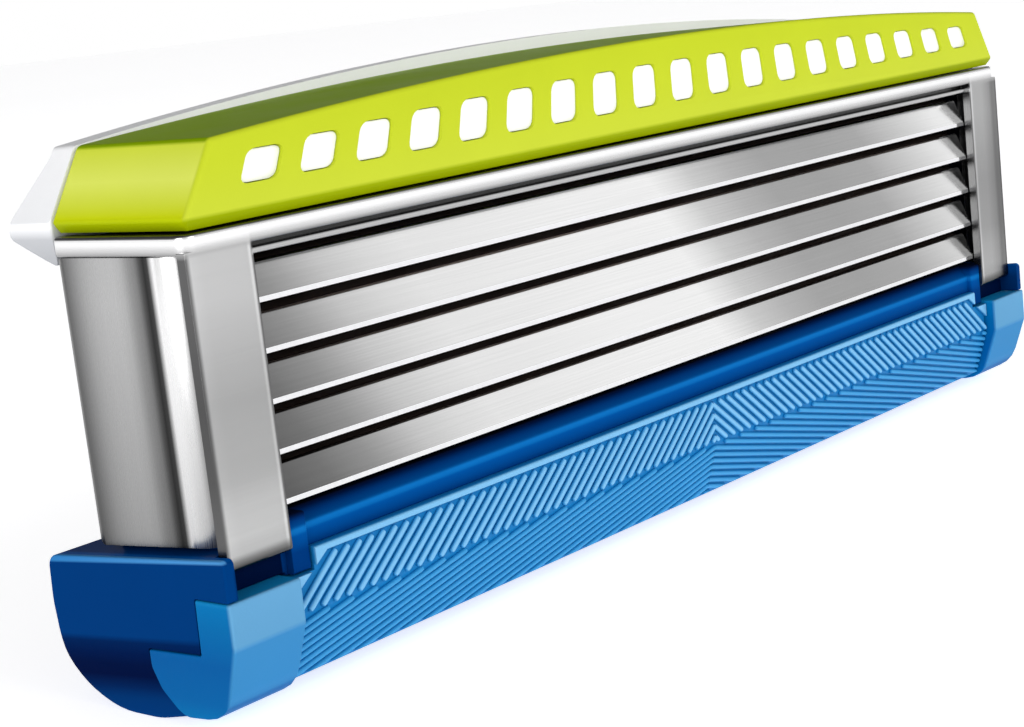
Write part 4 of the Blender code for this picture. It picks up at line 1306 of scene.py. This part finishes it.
def reservoir_outline(inset, crown=SHELL_CROWN, low=RESERVOIR_LOW, steps=28):
    """Front outline of the reservoir, (x, z), pulled in by an inset."""
    half, shoulder = (length - inset for length in SHELL_SHOULDER)
    points = [(-19.75 + inset, low + inset), (19.75 - inset, low + inset), (19.94 - inset, 8.4 + inset * 0.2, 0.12)]
    for step in range(steps + 1):
        x = half - 2 * half * step / steps
        # the top is a parabola from the shoulders to the crown
        corner = (x, crown - inset - (crown - inset - shoulder) * (x / half) ** 2)
        points.append((*corner, 0.2) if step in (0, steps) else corner)
    points.append((-19.94 + inset, 8.4 + inset * 0.2, 0.12))
    return rounded(points)


WINDOWS = {
    "Count": GEL_WINDOWS, "Pitch": GEL_WINDOW_PITCH, "Middle Height": 1.24, "End Height": 0.8,
    "Middle Level": 9.6, "End Level": 9.37, "Shear": 0.46,
}


def green_shell(finishes):
    """The lime shell: end facets that lean in, an arched top, a chamfer along the chin and a row of windows."""
    shell = prism("shell", reservoir_outline(0.0), 0.0, RESERVOIR_BACK, "Y", 0.13, 3)
    chin = [(-0.12, 8.573), (0.30, 7.967), (-0.5, 7.967)]
    cut(
        shell,
        prism("chin", chin, -21.0, 21.0, "X"),
        prism("hollow", reservoir_outline(0.5), 0.5, RESERVOIR_BACK + 1.0, "Y"),
    )
    sizes = {**WINDOWS, "Width": 1.22, "Corner": 0.27, "Front": -1.0, "Depth": 1.8}
    grow(shell, window_tree("gel windows", "DIFFERENCE"), sizes, finishes["lime"])
    soften(shell, 0.035, 55.0, 2)
    return piece("lime_shell", shell, finishes["lime"], "reservoir", "lime_pp", "reservoir_shell")


def gel(finishes):
    """The gel: a block that fills the shell, with a plug in every window."""
    fill = prism("gel", reservoir_outline(0.56), 0.56, RESERVOIR_BACK - 0.1, "Y", 0.05, 2)
    sizes = {
        **WINDOWS, "Width": 1.17, "Middle Height": 1.19, "End Height": 0.75, "Corner": 0.25, "Front": 0.1,
        "Depth": 0.8,
    }
    grow(fill, window_tree("gel plugs", "UNION"), sizes, finishes["gel"])
    soften(fill, 0.04, 55.0, 2)
    return piece("set_gel", fill, finishes["gel"], "reservoir", "gel", "gel_strip")


def tray(finishes):
    """The milky tray that closes the back of the shell, with a knuckle outside each ear."""
    front = RESERVOIR_BACK + 0.06
    view = rounded(
        [(front, 7.3, 0.1), (5.6, 7.5), (6.92, 8.05, 0.25), (5.9, 9.95, 0.4), (5.8, 11.8), (front, 11.8)]
    )
    made = prism("tray", view, -19.94, 19.94, "X", 0.1, 3)
    # the shell's outline with a higher crown, open below
    trim = prism("trim", reservoir_outline(0.0, 11.3, low=6.0), 3.0, 9.0, "Y")
    combine(made, [trim], "INTERSECT")
    for side, tag in SIDES:
        low, high = span(side, 16.96, 18.1)
        join(made, rod(f"knuckle_{tag}", low, high, HINGE, 0.57, 0.05))
        low, high = span(side, 15.65, 16.96)
        room = rod(f"ear_room_{tag}", low, high, HINGE, 0.77)
        low, high = span(side, 14.7, 18.3)
        cut(made, room, rod(f"bore_{tag}", low, high, HINGE, 0.38))
    soften(made, 0.06, 50.0, 3)
    return piece("milky_tray", made, finishes["milky"], "reservoir", "milky_pp", "reservoir_tray")


def pins(finishes):
    """Turned pins with chamfered ends."""
    for side, tag in SIDES:
        low, high = span(side, 15.7, 18.0)
        pin = rod(f"hinge_{tag}", low, high, HINGE, 0.35, 0.06)
        piece(f"hinge_pin_turned_{tag}", pin, finishes["pin"], "reservoir", "pin_steel", f"hinge_pin_{tag}")
        low, high = span(side, 5.5, 8.1)
        pin = rod(f"pivot_{tag}", low, high, PIVOT, 0.6, 0.08)
        piece(f"pivot_pin_turned_{tag}", pin, finishes["pin"], "dock", "pin_steel", f"pivot_pin_{tag}")


# ---------------------------------------------------------------- dock


def dock(finishes):
    """The dock that a handle plugs into: a round nose on the pins, a socket with a lead-in, two catches."""
    low, high = PIVOT[1] - 3.1, PIVOT[1] + 3.1
    body = block("dock", (-5.6, 9.2, low), (5.6, 16.4, high), 0.8, 5)
    join(body, rod("nose", -6.9, 6.9, PIVOT, 1.3, 0.15, 56))
    cutters = [block("socket", (-4.5, 10.6, PIVOT[1] - 2.25), (4.5, 17.4, PIVOT[1] + 2.25), 0.3)]
    lead = []
    for x, z, y in ((4.5, 2.25, 15.9), (4.95, 2.7, 16.5)):
        lead += [(across * x, y, PIVOT[1] + up * z) for across in (-1, 1) for up in (-1, 1)]
    cutters.append(hull("lead_in", lead))
    for tag, z in (("low", low), ("high", high)):
        cutters.append(block(f"catch_{tag}", (-1.5, 13.0, z - 1.2), (1.5, 14.4, z + 1.2), 0.2))
    for side, tag in SIDES:
        near, far = span(side, 5.4, 7.9)
        cutters.append(rod(f"dock_bore_{tag}", near, far, PIVOT, 0.63))
    cut(body, *cutters)
    soften(body, 0.08, 50.0, 2)
    return piece("plug_dock", body, finishes["acetal"], "dock", "grey_acetal", "handle_dock")


# ---------------------------------------------------------------- studio


def floor():
    """A plain pale sweep under the head."""
    made, tree, shader, coords = blank_material("plain studio sweep")
    haze = add(tree, "ShaderNodeTexNoise", {"Scale": 6.0, "Detail": 1.0}, {"Vector": coords})
    tone = ramp(tree, haze.outputs["Fac"], ((0.3, "#F6F6F7"), (0.7, "#F9F9FA")))
    tree.links.new(tone, shader.inputs["Base Color"])
    shader.inputs["Roughness"].default_value = 0.9
    shader.inputs["Specular IOR Level"].default_value = 0.1
    shader.inputs["Emission Color"].default_value = linear("#FFFFFF")
    shader.inputs["Emission Strength"].default_value = 0.7
    shape = bmesh.new()
    bmesh.ops.create_grid(shape, x_segments=2, y_segments=2, size=3.0)
    mesh = bpy.data.meshes.new("floor")
    shape.to_mesh(mesh)
    shape.free()
    mesh.transform(Matrix.Translation((0, 0, -0.00002)))
    mesh.materials.append(made)
    ground = bpy.data.objects.new("floor", mesh)
    bpy.context.scene.collection.objects.link(ground)


def soft_light(name, azimuth, elevation, distance, size, power, target=(0.0, -0.006, 0.007)):
    """A square soft light that looks at the head. Azimuth 0 is in front of the face, and 90 at the right end."""
    data = bpy.data.lights.new(name, "AREA")
    data.shape = "SQUARE"
    data.size = size
    data.energy = power
    light = bpy.data.objects.new(name, data)
    bpy.context.scene.collection.objects.link(light)
    turn, rise = math.radians(azimuth), math.radians(elevation)
    way = Vector((math.sin(turn) * math.cos(rise), -math.cos(turn) * math.cos(rise), math.sin(rise)))
    light.location = Vector(target) + way * distance
    light.rotation_euler = way.to_track_quat("Z", "Y").to_euler()
    return light


def studio():
    """Pale walls in front, dimmer ones behind and overhead, and two soft lights."""
    world = bpy.data.worlds.new("studio")
    bpy.context.scene.world = world
    world.use_nodes = True
    tree = world.node_tree
    tree.nodes.clear()
    way = add(tree, "ShaderNodeSeparateXYZ", links={"Vector": add(tree, "ShaderNodeTexCoord").outputs["Generated"]})
    lower_behind = share_of(tree, way.outputs["Y"], -0.1, 0.5, 1.0, 4.0)
    height = sum_of(tree, "MULTIPLY", way.outputs["Z"], lower_behind)
    tone = ramp(tree, height, ((0.0, "#FFFFFF"), (0.48, "#FFFFFF"), (0.68, "#7A7A7C"), (1.0, "#5A5A5C")))
    glow = add(tree, "ShaderNodeBackground", {"Strength": 1.0}, {"Color": tone})
    add(tree, "ShaderNodeOutputWorld", links={"Surface": glow.outputs[0]})
    soft_light("front softbox", 8, 24, 0.5, 0.35, 0.7)
    soft_light("left softbox", -78, 14, 0.5, 0.3, 1.05)


def camera():
    """A long lens close to the left end, turned a little about its axis."""
    azimuth, elevation, roll = (math.radians(a) for a in (-48.83, 10.26, 6.44))
    level = math.cos(elevation)
    back = Vector((math.sin(azimuth) * level, -math.cos(azimuth) * level, math.sin(elevation)))
    ahead = -back
    right = ahead.cross(Vector((0, 0, 1))).normalized()
    down = ahead.cross(right)
    across = math.cos(roll) * right + math.sin(roll) * down
    below = -math.sin(roll) * right + math.cos(roll) * down
    data = bpy.data.cameras.new("camera")
    data.sensor_width = 36.0
    data.lens = 2000 * 36 / 1024
    data.clip_start = 0.001
    data.clip_end = 20.0
    view = bpy.data.objects.new("camera", data)
    bpy.context.scene.collection.objects.link(view)
    place = Vector((-49.62, -35.32, 12.52)) * MM + DATUM
    turn = Matrix((across, -below, back)).transposed().to_4x4()
    view.matrix_world = Matrix.Translation(place) @ turn
    bpy.context.scene.camera = view
    bpy.context.scene.view_settings.view_transform = "Standard"


def main():
    finishes = make_finishes()
    camera()
    studio()
    floor()
    housing(finishes)
    guard(finishes, rib_tree())
    end_caps(finishes)
    metal_face(finishes)
    side_clips(finishes)
    for number in range(1, BLADES + 1):
        blade(number, finishes)
        support(number, finishes)
    grille(finishes, slot_tree())
    return_leaf(finishes)
    green_shell(finishes)
    gel(finishes)
    tray(finishes)
    pins(finishes)
    dock(finishes)
    for tag in ("left", "right"):
        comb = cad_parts[f"spring_comb_{tag}"]
        comb.data.materials.clear()
        comb.data.materials.append(finishes["acetal"])


main()
